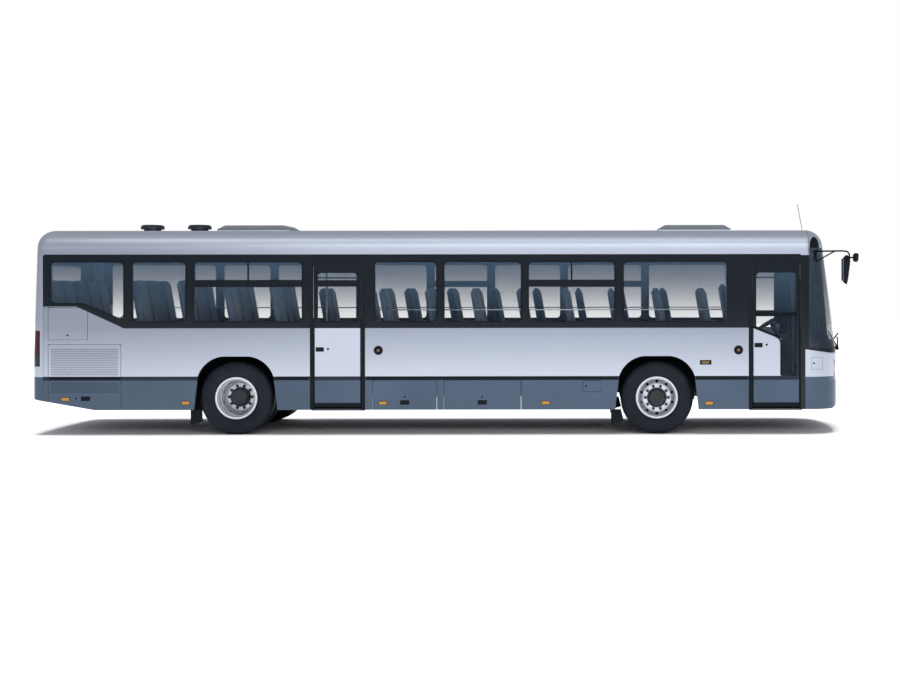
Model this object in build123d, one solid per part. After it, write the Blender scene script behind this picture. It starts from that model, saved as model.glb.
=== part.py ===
from build123d import *

import os
from math import cos, radians, sin

os.makedirs("parts", exist_ok=True)

# Lengths along the bus, in millimetres. X runs forward, Y to the left and Z up from the road.
wheelbase = 6069
front_overhang = 2737
rear_overhang = 2997
mirror_lead = 139
body_width = 2500

overall_length = rear_overhang + wheelbase + front_overhang + mirror_lead
rear_tip_x = -overall_length / 2
rear_axle_x = rear_tip_x + rear_overhang
front_axle_x = rear_axle_x + wheelbase
front_tip_x = front_axle_x + front_overhang
half_width = body_width / 2

# Heights of the body's lines above the road
skirt_z = 360
rail_low_z = 785
rail_high_z = 842
floor_z = 860
lean_z = 1150
glass_low_z = 1634
glass_high_z = 2484
eave_z = 2590
roof_z = 2950

# Body shell
wall = 50
front_bow = 200
high_front_bow = 150
rear_bow = 70
front_lean = 250
rear_lean = 60
front_corner_radius = 450
high_front_corner_radius = 260
rear_corner_radius = 150
roof_edge_radius = 240
cap_depth = 228
tail_rise = 170
tail_rise_length = 970
nose_rise = 140
nose_rise_length = 330
nose_arc_share = 0.29
overrun = 60
seat_gap = 0.3
part_gap = 6

# Doors: each leaf swings on arms from a post near its front jamb
door_width = 710
door_gap = 13
door_low_z = 400
door_high_z = 2496
leaf_thickness = 40
front_door_ahead = 1365
middle_door_ahead = 1112
door_rail = 55
door_glass_low_z = 1634
door_glass_high_z = 2331
low_glass_share = 0.605
low_glass_high_z = 1560
low_glass_bend_z = 1390
post_inboard = 140
post_setback = 90
post_radius = 22
arm_reach = 560
arm_offset = 60
arm_width = 30
arm_depth = 24
pin_radius = 10
pin_clearance = 0.05
arm_low_z = 700
arm_high_z = 2250
lug_thickness = 8
lug_clearance = 1
lug_width = 36
gear_cover_depth = 190
gear_cover_height = 110

front_door_x0 = front_axle_x + front_door_ahead
front_door_x1 = front_door_x0 + door_width
middle_door_x0 = rear_axle_x + middle_door_ahead
middle_door_x1 = middle_door_x0 + door_width
doors = {"front_door": front_door_x0, "middle_door": middle_door_x0}

# Glass
glass_thickness = 8
glass_inset = 3
window_radius = 55
driver_glass_low_z = 1480
skin_glass = 8

# Steps and floor
floor_thickness = 30
step_rise = 163
step_run = 250
step_count = 3
step_sheet = 25
step_lift = 10
deck_end_gap = 60
deck_nose_gap = 60
podium_door_gap = 150
podium_height = 120
driver_platform_height = 60
platform_lead = 350
platform_inner_y = 250

# Wheel arches
arch_half_width = 603
arch_rail_half_width = 545
arch_crown_half_width = 190
arch_crown_z = 1130
arch_shoulder_x = 420
arch_shoulder_z = 1030
wheel_box_half_length = 660
wheel_box_top_z = 1150
wheel_box_inner_y = 560
wheel_box_sheet = 20
wheel_box_axle_z = 640

# Wheels and tyres
tyre_radius = 527
tyre_width = 276
tyre_shoulder = 45
rim_radius = 290
rim_flange_radius = 302
rim_width = 210
rim_sheet = 14
disc_sheet = 16
hub_radius = 132
hub_bore = 45
stud_circle = 167
stud_radius = 13
stud_length = 32
stud_count = 10
hand_hole_circle = 232
hand_hole_radius = 21
hand_hole_count = 10
front_wheel_y = 1060
rear_outer_wheel_y = 1090
dual_spacing = 330
brake_radius = 205
brake_width = 150
shoulder_drop_share = 0.35
shoulder_step_share = 0.6
shoulder_drop = tyre_shoulder * shoulder_drop_share
shoulder_step = tyre_shoulder * shoulder_step_share
hub_flat = 28
hub_taper_share = 0.75
hub_chamfer = 30
front_face_offset = 110
front_hub_length = 75
front_root_offset = 10
rear_root_offset = -60
rear_hub_length = 130
rear_brake_offset = 180
hand_hole_turn_share = 0.5
wheel_turn_shares = {"right": 0, "left": 0.5}
mud_flap_sheet = 12
mud_flap_inner_y = 640
mud_flap_low_z = 140
mud_flap_web_rise = 60
mud_flap_web_low = 180
mud_flap_web_high = 140

# Axles
beam_width = 110
beam_height = 110
king_pin_y = 905
king_pin_radius = 22
king_boss_radius = 52
king_boss_height = 120
knuckle_lug = 30
knuckle_back_x = 120
knuckle_back_offset = 68
knuckle_back_sheet = 25
neck_width = 70
axle_tube_radius = 62
differential_radius = 175
spring_length = 1300
spring_height = 50
spring_arch_share = 0.8

# Frame under the floor
rail_y = 380
rail_thickness = 80
rail_depth = 240
frame_front_gap = 480
frame_rear_gap = 420
cross_member_width = 80
cross_member_count = 11
cross_member_share = 0.5
jack_pad_length = 160
jack_pad_depth = 12

# Engine and tank
engine_length = 1150
engine_low_z = 470
engine_tail_gap = 330
tank_length = 760
tank_depth = 480
tank_height = 330
tank_behind_axle = 1900
tank_edge_radius = 60

# Lids in the side walls, with their hinges
lid_thickness = 25
hinge_radius = 2.7
hinge_inset = 30
lid_seam_step = 74
upper_lid_length = 574
upper_lid_low_z = 1375
upper_lid_high_z = 1836
engine_door_length = 1051
engine_door_high_z = 1303
locker_door_gap = 146
rear_locker_share = 0.2192
locker_post = 95
front_locker_share = 0.2632
left_locker_ahead = 1500
left_locker_length = 1100
fuel_lid_behind = 805
fuel_lid_share = 0.0624
fuel_lid_low_z = 612
fuel_lid_high_z = 779

# Rear end
rear_window_half_width = 670
rear_window_low_z = 1980
rear_window_high_z = 2450
engine_lid_half_width = 880
engine_lid_low_z = 560
engine_lid_high_z = 1450
engine_hinge_y = 100
engine_hinge_length = 160
tail_lamp_wrap = 187
tail_lamp_inner_y = 1080
tail_lamp_low_z = 986
tail_lamp_high_z = 1505

# Front end
windscreen_ahead = 120
windscreen_low_z = 1240
windscreen_high_z = 2690
windscreen_frame = 130
windscreen_sill = 90
headlamp_inner_y = 640
headlamp_outer_y = 1130
headlamp_low_z = 770
headlamp_high_z = 1060

# Roof fittings
rear_hatch_ahead = -464
front_hatch_ahead = 87
hatch_length = 1030
hatch_width = 760
hatch_height = 75
hatch_round_share = 0.4
curb_height = 35
curb_sheet = 30
ventilator_ahead = (-1588, -869)
ventilator_radius = 175
ventilator_stem_radius = 130
ventilator_height = 130
ventilator_round_share = 0.3

# Seats
seat_pitch = 662
seat_width = 430
seat_height = 480
seat_pair_gap = 15
seat_wall_gap = 40
cushion_depth = 430
cushion_thickness = 120
back_height = 790
back_recline = 140
back_thickness = 110
plinth_share = 0.6
plinth_width = 480
rear_seat_gap = 380
right_front_seat_gap = 523
left_front_seat_gap = 1023
door_seat_gap = 260

# Driver's place
driver_seat_behind = 60
dash_depth = 560
dash_z = 1250
dash_sheet = 30
binnacle_depth = 140
binnacle_drop = 160
binnacle_rise = 130
binnacle_width = 520
column_radius = 35
column_length = 330
column_lift = 40
column_rise_angle = 60
steering_rim_radius = 225
steering_rim_section = 16
spoke_count = 4
spoke_width = 40

# Handrails
handrail_radius = 16
handrail_step = 40
handrail_y = 420

# Mirrors
mirror_root_behind = 582
mirror_root_inset = 100
mirror_knee_behind = 170
mirror_knee_out = 170
mirror_arm_radius = 16
mirror_knuckle_radius = 22
mirror_arm_z = 2638
left_mirror_arm_z = 2110
left_mirror_behind = 490
left_mirror_root_behind = 90
mirror_drop = 60
mirror_head_depth = 120
mirror_head_width = 220
mirror_head_height = 418
mirror_head_round = 25
wide_mirror_depth = 60
wide_mirror_width = 200
wide_mirror_height = 144
wide_mirror_drop = 48

# Wipers and aerial
wiper_spread = 450
wiper_behind = 60
wiper_stand = 85
wiper_radius = 12
wiper_z = 1200
wiper_length = 900
wiper_blade_run = 97
wiper_blade_rise = 25
aerial_behind = 446
aerial_foot_radius = 35
aerial_foot_height = 60
aerial_radius = 4
aerial_lean = 81
aerial_rise = 435
aerial_length = 478


def block(x0, x1, y0, y1, z0, z1):
    """Box between two corners."""
    return Pos(x0, y0, z0) * Box(x1 - x0, y1 - y0, z1 - z0, align=(Align.MIN, Align.MIN, Align.MIN))


def outline(points, radius=0):
    """Closed polygon, its corners rounded when a radius is given."""
    face = make_face(Polyline(*points, close=True))
    return fillet(face.vertices(), radius) if radius else face


def rectangle(x0, x1, y0, y1, radius=0):
    return outline([(x0, y0), (x1, y0), (x1, y1), (x0, y1)], radius)


def side_prism(sketch, y0, y1):
    """An outline in X and Z, carried from y0 to y1."""
    plane = Plane(origin=(0, y1, 0), x_dir=(1, 0, 0), z_dir=(0, -1, 0))
    return extrude(plane * sketch, amount=y1 - y0)


def end_prism(sketch, x0, x1):
    """An outline in Y and Z, carried from x0 to x1."""
    plane = Plane(origin=(x0, 0, 0), x_dir=(0, 1, 0), z_dir=(1, 0, 0))
    return extrude(plane * sketch, amount=x1 - x0)


def rod(radius, start, direction, length):
    """Round bar from a point along a direction."""
    return extrude(Plane(origin=start, z_dir=direction) * Circle(radius), amount=length)


def solids_of(*shapes):
    """Solids kept side by side in one piece."""
    return Compound(children=[solid for shape in shapes for solid in shape.solids()])


def save(shape, node):
    export_step(shape, "parts/" + node + ".step")


# Envelope of the body: upright below the waist and leaning above it, with rounded roof edges
def plan_outline(inset, front_shift, rear_shift, bow, corner_radius):
    half = half_width - inset
    front = front_tip_x - front_shift - inset
    rear = rear_tip_x + rear_shift + inset
    face = make_face(
        [
            ThreePointArc((front - bow, -half), (front, 0), (front - bow, half)),
            Line((front - bow, half), (rear + rear_bow, half)),
            ThreePointArc((rear + rear_bow, half), (rear, 0), (rear + rear_bow, -half)),
            Line((rear + rear_bow, -half), (front - bow, -half)),
        ]
    )
    face = fillet(face.vertices().sort_by(Axis.X)[-2:], corner_radius - inset)
    rear_corners = face.vertices().sort_by(Axis.X)[:2]
    return fillet(rear_corners, rear_corner_radius - inset)


def envelope(inset, low_z):
    low = plan_outline(inset, 0, 0, front_bow, front_corner_radius)
    high = plan_outline(inset, front_lean, rear_lean, high_front_bow, high_front_corner_radius)
    lower = extrude(Pos(0, 0, low_z) * low, amount=lean_z - low_z)
    upper = loft([Pos(0, 0, lean_z) * low, Pos(0, 0, roof_z - inset) * high], ruled=True)
    body = lower + upper
    top = body.faces().sort_by(Axis.Z)[-1]
    return fillet(top.edges(), roof_edge_radius - inset)


everywhere_y = half_width + overrun
tail_cut = side_prism(
    outline(
        [
            (rear_tip_x - overrun, skirt_z - overrun),
            (rear_tip_x + tail_rise_length + overrun, skirt_z - overrun),
            (rear_tip_x + tail_rise_length, skirt_z),
            (rear_tip_x, skirt_z + tail_rise),
            (rear_tip_x - overrun, skirt_z + tail_rise),
        ]
    ),
    -everywhere_y,
    everywhere_y,
)
outer_body = envelope(0, skirt_z) - tail_cut
inner_body = envelope(wall, skirt_z - overrun)
shell = outer_body - inner_body
glass_skin = outer_body - envelope(skin_glass, skirt_z - overrun)
lamp_skin = outer_body - envelope(lid_thickness, skirt_z - overrun)

cap_x = rear_tip_x + cap_depth
nose_x = front_door_x1
tail_x = rear_tip_x - overrun
far_x = front_tip_x + overrun


# Wheel arch openings
def arch_outline(axle_x):
    sides = []
    for way in (-1, 1):
        sides.append(
            [
                Line(
                    (axle_x + way * arch_half_width, skirt_z),
                    (axle_x + way * arch_rail_half_width, rail_high_z),
                ),
                ThreePointArc(
                    (axle_x + way * arch_rail_half_width, rail_high_z),
                    (axle_x + way * arch_shoulder_x, arch_shoulder_z),
                    (axle_x + way * arch_crown_half_width, arch_crown_z),
                ),
            ]
        )
    low_z = skirt_z - overrun
    return make_face(
        [
            *sides[0],
            Line(
                (axle_x - arch_crown_half_width, arch_crown_z),
                (axle_x + arch_crown_half_width, arch_crown_z),
            ),
            *sides[1],
            Line((axle_x + arch_half_width, skirt_z), (axle_x + arch_half_width, low_z)),
            Line((axle_x + arch_half_width, low_z), (axle_x - arch_half_width, low_z)),
            Line((axle_x - arch_half_width, low_z), (axle_x - arch_half_width, skirt_z)),
        ]
    )


arches = [side_prism(arch_outline(x), -everywhere_y, everywhere_y) for x in (rear_axle_x, front_axle_x)]
arch_cut = arches[0] + arches[1]


# Side windows: shares of a bay's length, from its rear end to its front end
def bay_windows(start_x, end_x, shares):
    """Rounded windows in one bay, as (start, end) places."""
    length = end_x - start_x
    return [(start_x + a * length, start_x + b * length) for a, b in shares]


rear_bay = (cap_x, middle_door_x0)
middle_bay = (middle_door_x1, front_door_x0)
left_bay = (cap_x, nose_x)

# Columns: window start share, window end share
rear_bay_shares = [(0.332, 0.528), (0.562, 0.959)]
middle_bay_shares = [(0.033, 0.190), (0.211, 0.407), (0.428, 0.647), (0.672, 0.936)]
left_bay_shares = [
    (0.0122, 0.1661),
    (0.1780, 0.2466),
    (0.2585, 0.4775),
    (0.4894, 0.5673),
    (0.5792, 0.6754),
    (0.6874, 0.7956),
    (0.8075, 0.9212),
]
driver_window_shares = (0.9340, 0.9930)
# The rearmost right window has a slanted lower edge
quarter_low_z = 1900
quarter_start_share = 0.031
quarter_bend_share = 0.150
quarter_end_share = 0.298

rear_bay_length = rear_bay[1] - rear_bay[0]
quarter_window = outline(
    [
        (rear_bay[0] + quarter_start_share * rear_bay_length, quarter_low_z),
        (rear_bay[0] + quarter_bend_share * rear_bay_length, quarter_low_z),
        (rear_bay[0] + quarter_end_share * rear_bay_length, glass_low_z),
        (rear_bay[0] + quarter_end_share * rear_bay_length, glass_high_z),
        (rear_bay[0] + quarter_start_share * rear_bay_length, glass_high_z),
    ],
    window_radius,
)
right_windows = [quarter_window]
for bay, shares in ((rear_bay, rear_bay_shares), (middle_bay, middle_bay_shares)):
    for x0, x1 in bay_windows(*bay, shares):
        right_windows.append(rectangle(x0, x1, glass_low_z, glass_high_z, window_radius))
left_windows = [
    rectangle(x0, x1, glass_low_z, glass_high_z, window_radius)
    for x0, x1 in bay_windows(*left_bay, left_bay_shares)
]

driver_x0, driver_x1 = bay_windows(*left_bay, [driver_window_shares])[0]
left_windows.append(rectangle(driver_x0, driver_x1, driver_glass_low_z, glass_high_z, window_radius))

glass_panes = []
right_window_cuts = []
left_window_cuts = []
for face in right_windows:
    right_window_cuts.append(side_prism(face, -half_width - overrun, -half_width + wall + overrun))
    glass_panes.append(
        side_prism(face, -half_width + glass_inset, -half_width + glass_inset + glass_thickness)
    )
for face in left_windows:
    left_window_cuts.append(side_prism(face, half_width - wall - overrun, half_width + overrun))
    glass_panes.append(
        side_prism(face, half_width - glass_inset - glass_thickness, half_width - glass_inset)
    )

# Door openings
door_cuts = [
    block(
        x,
        x + door_width,
        -half_width - overrun,
        -half_width + wall + overrun,
        skirt_z - overrun,
        door_high_z,
    )
    for x in doors.values()
]

# Lids in the side walls, each hung on a hinge along its top edge
lid_seam_x = cap_x + lid_seam_step
locker_low_z = skirt_z - overrun
locker_bay = front_axle_x - middle_door_x1
rear_locker_length = rear_locker_share * locker_bay
front_locker_length = front_locker_share * locker_bay
fuel_lid_length = fuel_lid_share * locker_bay
rear_locker_x0 = middle_door_x1 + locker_door_gap
front_locker_x0 = rear_locker_x0 + rear_locker_length + locker_post
rear_locker_x1 = rear_locker_x0 + rear_locker_length
front_locker_x1 = front_locker_x0 + front_locker_length
left_locker_x0 = rear_axle_x + left_locker_ahead


def top_hung_lid(x0, x1, z0, z1, side):
    """Lid in a side wall and the hole that it closes. Side is -1 on the right and 1 on the left."""
    skin_y = side * half_width
    hole_y = side * (half_width + overrun)
    inside_y = side * (half_width - wall - overrun)
    hole = block(x0, x1, min(hole_y, inside_y), max(hole_y, inside_y), z0, z1)
    back_y = side * (half_width - lid_thickness)
    panel = block(
        x0 + part_gap,
        x1 - part_gap,
        min(skin_y, back_y),
        max(skin_y, back_y),
        max(z0, skirt_z),
        z1 - part_gap,
    )
    web_y = side * (half_width - hinge_radius)
    hinge_z = z1 - part_gap / 2
    web = block(
        x0 + hinge_inset,
        x1 - hinge_inset,
        min(skin_y, web_y),
        max(skin_y, web_y),
        z1 - part_gap,
        hinge_z,
    )
    pin = rod(hinge_radius, (x0 + hinge_inset, skin_y, hinge_z), (1, 0, 0), x1 - x0 - 2 * hinge_inset)
    return (panel - tail_cut) + web + pin, hole


# Columns: node, rear end, front end, low, high, side
side_lids = [
    ("upper_side_lid", lid_seam_x, lid_seam_x + upper_lid_length, upper_lid_low_z, upper_lid_high_z, -1),
    ("engine_side_door", lid_seam_x, lid_seam_x + engine_door_length, locker_low_z, engine_door_high_z, -1),
    ("rear_locker_lid", rear_locker_x0, rear_locker_x1, locker_low_z, rail_low_z, -1),
    ("front_locker_lid", front_locker_x0, front_locker_x1, locker_low_z, rail_low_z, -1),
    ("left_locker_lid", left_locker_x0, left_locker_x0 + left_locker_length, locker_low_z, rail_low_z, 1),
]
lid_holes = []
for node, x0, x1, z0, z1, side in side_lids:
    lid, hole = top_hung_lid(x0, x1, z0, z1, side)
    lid_holes.append(hole)
    save(lid, node)

# Fuel lid, hung on a hinge along its front edge
fuel_lid_x1 = front_axle_x - fuel_lid_behind
fuel_lid_x0 = fuel_lid_x1 - fuel_lid_length
fuel_hinge_x = fuel_lid_x1 - part_gap / 2
lid_holes.append(
    block(
        fuel_lid_x0,
        fuel_lid_x1,
        -half_width - overrun,
        -half_width + wall + overrun,
        fuel_lid_low_z,
        fuel_lid_high_z,
    )
)
fuel_lid = block(
    fuel_lid_x0 + part_gap,
    fuel_lid_x1 - part_gap,
    -half_width,
    -half_width + lid_thickness,
    fuel_lid_low_z + part_gap,
    fuel_lid_high_z - part_gap,
)
fuel_lid += block(
    fuel_lid_x1 - part_gap,
    fuel_hinge_x,
    -half_width,
    -half_width + hinge_radius,
    fuel_lid_low_z + hinge_inset,
    fuel_lid_high_z - hinge_inset,
)
fuel_lid += rod(
    hinge_radius,
    (fuel_hinge_x, -half_width, fuel_lid_low_z + hinge_inset),
    (0, 0, 1),
    fuel_lid_high_z - fuel_lid_low_z - 2 * hinge_inset,
)
save(fuel_lid, "fuel_lid")

# Rear end: window, engine lid and tail lamps
rear_window_hole = end_prism(
    rectangle(
        -rear_window_half_width,
        rear_window_half_width,
        rear_window_low_z,
        rear_window_high_z,
        window_radius,
    ),
    tail_x,
    cap_x,
)
glass_panes.append(glass_skin & rear_window_hole)
save(solids_of(*glass_panes), "body_windows")
lid_zone = end_prism(
    rectangle(-engine_lid_half_width, engine_lid_half_width, engine_lid_low_z, engine_lid_high_z),
    tail_x,
    cap_x,
)
lid_body = lamp_skin & end_prism(
    rectangle(
        part_gap - engine_lid_half_width,
        engine_lid_half_width - part_gap,
        engine_lid_low_z + part_gap,
        engine_lid_high_z - part_gap,
    ),
    tail_x,
    cap_x,
)
rear_lean_here = rear_lean * (engine_lid_high_z - lean_z) / (roof_z - lean_z)
engine_hinge_x = rear_tip_x + rear_lean_here
engine_hinge_z = engine_lid_high_z - part_gap / 2
for side in (-1, 1):
    hinge_y = side * engine_hinge_y - engine_hinge_length / 2
    lid_body += block(
        engine_hinge_x,
        engine_hinge_x + lid_thickness / 2,
        hinge_y,
        hinge_y + engine_hinge_length,
        engine_hinge_z - 2 * part_gap,
        engine_hinge_z,
    )
    lid_body += rod(hinge_radius, (engine_hinge_x, hinge_y, engine_hinge_z), (0, 1, 0), engine_hinge_length)
save(lid_body, "engine_lid")

tail_lamps = []
for side in (-1, 1):
    tail_lamps.append(
        lamp_skin
        & block(
            tail_x,
            rear_tip_x + tail_lamp_wrap,
            min(side * tail_lamp_inner_y, side * everywhere_y),
            max(side * tail_lamp_inner_y, side * everywhere_y),
            tail_lamp_low_z,
            tail_lamp_high_z,
        )
    )
save(solids_of(*tail_lamps), "tail_lamps")

# Front end: windscreen and headlamps
windscreen_edge_x = nose_x + windscreen_ahead
windscreen = glass_skin & block(
    windscreen_edge_x, far_x, -everywhere_y, everywhere_y, windscreen_low_z, windscreen_high_z
)
save(windscreen, "windscreen")
windscreen_hole = end_prism(
    rectangle(
        windscreen_frame - half_width,
        half_width - windscreen_frame,
        windscreen_low_z + windscreen_sill,
        windscreen_high_z - windscreen_sill,
        window_radius,
    ),
    windscreen_edge_x,
    far_x,
)
headlamps = []
for side in (-1, 1):
    headlamps.append(
        lamp_skin
        & block(
            windscreen_edge_x,
            far_x,
            min(side * headlamp_inner_y, side * headlamp_outer_y),
            max(side * headlamp_inner_y, side * headlamp_outer_y),
            headlamp_low_z,
            headlamp_high_z,
        )
    )
save(solids_of(*headlamps), "headlamps")
nose_cut = side_prism(
    make_face(
        [
            ThreePointArc(
                (front_tip_x - nose_rise_length, skirt_z),
                (front_tip_x - nose_rise_length * nose_arc_share, skirt_z + nose_rise * nose_arc_share),
                (front_tip_x, skirt_z + nose_rise),
            ),
            Line((front_tip_x, skirt_z + nose_rise), (far_x, skirt_z + nose_rise)),
            Line((far_x, skirt_z + nose_rise), (far_x, skirt_z - overrun)),
            Line((far_x, skirt_z - overrun), (front_tip_x - nose_rise_length, skirt_z - overrun)),
            Line(
                (front_tip_x - nose_rise_length, skirt_z - overrun),
                (front_tip_x - nose_rise_length, skirt_z),
            ),
        ]
    ),
    -everywhere_y,
    everywhere_y,
)

# Roof with its hatch openings
roof = shell & block(tail_x, far_x, -everywhere_y, everywhere_y, eave_z, roof_z + overrun)
roof = roof - windscreen - windscreen_hole
hatch_x = {
    "rear_roof_hatch": rear_axle_x + rear_hatch_ahead,
    "front_roof_hatch": front_axle_x + front_hatch_ahead,
}
curb_z = roof_z + curb_height
for node, x in hatch_x.items():
    y = hatch_width / 2
    roof -= block(x, x + hatch_length, -y, y, roof_z - wall - overrun, roof_z + overrun)
    curb = block(
        x - curb_sheet,
        x + hatch_length + curb_sheet,
        -y - curb_sheet,
        y + curb_sheet,
        roof_z - wall,
        curb_z,
    )
    curb -= block(x, x + hatch_length, -y, y, roof_z - wall - overrun, curb_z + overrun)
    roof += curb
    lid_x0 = x - curb_sheet
    lid_x1 = x + hatch_length + curb_sheet
    lid = block(lid_x0, lid_x1, -y - curb_sheet, y + curb_sheet, curb_z + seat_gap, curb_z + hatch_height)
    top_edges = lid.faces().sort_by(Axis.Z)[-1].edges()
    save(fillet(top_edges, hatch_height * hatch_round_share), node)
save(roof, "roof")

# Roof ventilators
ventilators = []
for ahead in ventilator_ahead:
    x = rear_axle_x + ahead
    stem = rod(ventilator_stem_radius, (x, 0, roof_z), (0, 0, 1), ventilator_height / 2)
    cap = rod(ventilator_radius, (x, 0, roof_z + ventilator_height / 2), (0, 0, 1), ventilator_height / 2)
    edge_round = ventilator_height * ventilator_round_share
    ventilators.append(stem + fillet(cap.edges().sort_by(Axis.Z)[-1], edge_round))
save(solids_of(*ventilators), "roof_ventilators")

# Walls, end caps and skirts
side_holes = arch_cut
for hole in [*door_cuts, *lid_holes]:
    side_holes = side_holes + hole
right_glass_holes = right_window_cuts[0]
for hole in right_window_cuts[1:]:
    right_glass_holes = right_glass_holes + hole
left_glass_holes = left_window_cuts[0]
for hole in left_window_cuts[1:]:
    left_glass_holes = left_glass_holes + hole

right_wall = shell & block(cap_x, nose_x, -everywhere_y, 0, rail_high_z, eave_z)
right_wall = right_wall - side_holes - right_glass_holes
save(right_wall & block(cap_x, middle_door_x1, -everywhere_y, 0, rail_high_z, eave_z), "right_rear_wall")
save(right_wall & block(middle_door_x1, nose_x, -everywhere_y, 0, rail_high_z, eave_z), "right_front_wall")
left_wall = shell & block(cap_x, nose_x, 0, everywhere_y, rail_high_z, eave_z)
save(left_wall - side_holes - left_glass_holes, "left_wall")

skirts = shell & block(cap_x, nose_x, -everywhere_y, everywhere_y, skirt_z, rail_high_z)
skirts = skirts - side_holes
save(solids_of(skirts), "side_skirts")

rear_cap = shell & block(tail_x, cap_x, -everywhere_y, everywhere_y, rail_low_z, eave_z)
rear_cap = rear_cap - rear_window_hole - lid_zone - tail_lamps[0] - tail_lamps[1]
save(rear_cap, "rear_cap")
rear_bumper = shell & block(tail_x, cap_x, -everywhere_y, everywhere_y, skirt_z, rail_low_z)

front_mask = shell & block(nose_x, far_x, -everywhere_y, everywhere_y, rail_high_z, eave_z)
front_mask = front_mask - windscreen - windscreen_hole - headlamps[0] - headlamps[1]
save(front_mask, "front_mask")
front_bumper = shell & block(nose_x, far_x, -everywhere_y, everywhere_y, skirt_z, rail_high_z)
front_bumper = front_bumper - nose_cut - headlamps[0] - headlamps[1]
save(solids_of(rear_bumper - lid_zone, front_bumper), "bumpers")

# Doors
post_y = -half_width + post_inboard
pivot_y = post_y - arm_offset
tread_z = skirt_z + step_lift
leaf_inner_y = -half_width + leaf_thickness
cover_z = door_high_z - gear_cover_height / 2
gear_covers = []
for name, x in doors.items():
    leaf_x0 = x + door_gap
    leaf_x1 = x + door_width - door_gap
    leaf_z1 = door_high_z - door_gap
    glass_x0 = leaf_x0 + door_rail
    glass_x1 = leaf_x1 - door_rail
    glass_face = rectangle(glass_x0, glass_x1, door_glass_low_z, door_glass_high_z, window_radius)
    post_x = x + door_width - post_setback
    pivot_x = post_x - arm_reach
    leaf = block(leaf_x0, leaf_x1, -half_width, leaf_inner_y, door_low_z, leaf_z1)
    if name == "front_door":
        low_glass_x0 = leaf_x0 + low_glass_share * (leaf_x1 - leaf_x0)
        glass_face = glass_face + outline(
            [
                (glass_x0, door_glass_low_z + window_radius),
                (glass_x0, low_glass_high_z),
                (low_glass_x0, low_glass_bend_z),
                (low_glass_x0, rail_high_z),
                (glass_x1, rail_high_z),
                (glass_x1, door_glass_low_z + window_radius),
            ]
        )
    leaf -= side_prism(glass_face, -half_width - overrun, leaf_inner_y + overrun)
    pane_y0 = -half_width + glass_inset
    save(side_prism(glass_face, pane_y0, pane_y0 + glass_thickness), name + "_glass")

    arm_direction = (-arm_reach, -arm_offset, 0)
    arm_plane = Plane(origin=(post_x, post_y, 0), x_dir=arm_direction, z_dir=(0, 0, 1))
    arm_run = (arm_reach**2 + arm_offset**2) ** 0.5
    post_z0 = tread_z + seat_gap
    arms = rod(post_radius, (post_x, post_y, post_z0), (0, 0, 1), cover_z - seat_gap - post_z0)
    for arm_z in (arm_low_z, arm_high_z):
        bar = Pos(arm_run / 2, 0) * Rectangle(arm_run, arm_width) + Pos(arm_run, 0) * Circle(arm_width / 2)
        bar -= Pos(arm_run, 0) * Circle(pin_radius + pin_clearance)
        arms += extrude(arm_plane.offset(arm_z) * bar, amount=arm_depth)
        for lug_z in (arm_z - lug_clearance - lug_thickness, arm_z + arm_depth + lug_clearance):
            leaf += block(
                pivot_x - lug_width / 2,
                pivot_x + lug_width / 2,
                leaf_inner_y,
                pivot_y + lug_width / 2,
                lug_z,
                lug_z + lug_thickness,
            )
        pin_z = arm_z - lug_clearance
        leaf += rod(pin_radius, (pivot_x, pivot_y, pin_z), (0, 0, 1), arm_depth + 2 * lug_clearance)
    save(leaf, name + "_leaf")
    save(arms, name + "_arms")
    cover_y0 = -half_width + wall
    cover_y1 = cover_y0 + gear_cover_depth
    cover = block(x - wall, x + door_width, cover_y0, cover_y1, cover_z, cover_z + gear_cover_height)
    gear_covers.append(cover & inner_body)
save(solids_of(*gear_covers), "door_gear_covers")

# Floor: deck, stairwells and wheel boxes
inner_y = half_width - wall
deck_x0 = rear_tip_x + deck_end_gap
deck_x1 = front_tip_x - deck_nose_gap
wheel_zones = []
wheel_boxes = []
for axle_x in (rear_axle_x, front_axle_x):
    for side in (-1, 1):
        x0 = axle_x - wheel_box_half_length
        x1 = axle_x + wheel_box_half_length
        y_in = side * wheel_box_inner_y
        y_out = side * inner_y
        zone = block(x0, x1, min(y_in, y_out), max(y_in, y_out), skirt_z, wheel_box_top_z)
        wheel_zones.append(zone)
        y_sheet = side * (wheel_box_inner_y + wheel_box_sheet)
        hollow = block(
            x0 + wheel_box_sheet,
            x1 - wheel_box_sheet,
            min(y_sheet, y_out),
            max(y_sheet, y_out),
            skirt_z - overrun,
            wheel_box_top_z - wheel_box_sheet,
        )
        axle_way = block(
            x0 + wheel_box_sheet,
            x1 - wheel_box_sheet,
            min(y_in, y_sheet),
            max(y_in, y_sheet),
            skirt_z,
            wheel_box_axle_z,
        )
        wheel_boxes.append(zone - hollow - axle_way)
well_y = -inner_y + step_count * step_run
panel_edges = []
x_start = deck_x0
for axle_x, door in ((rear_axle_x, "middle_door"), (front_axle_x, "front_door")):
    box_x0 = axle_x - wheel_box_half_length
    box_x1 = axle_x + wheel_box_half_length
    door_x0 = doors[door] - step_sheet
    door_x1 = doors[door] + door_width + step_sheet
    panel_edges.append((x_start, box_x0, -inner_y, inner_y))
    panel_edges.append((box_x0, box_x1, -wheel_box_inner_y, wheel_box_inner_y))
    panel_edges.append((box_x1, door_x0, -inner_y, inner_y))
    panel_edges.append((door_x0, door_x1, well_y, inner_y))
    x_start = door_x1
panel_edges.append((x_start, deck_x1, -inner_y, inner_y))
floor_parts = [block(*edges, floor_z - floor_thickness, floor_z) for edges in panel_edges]
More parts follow.
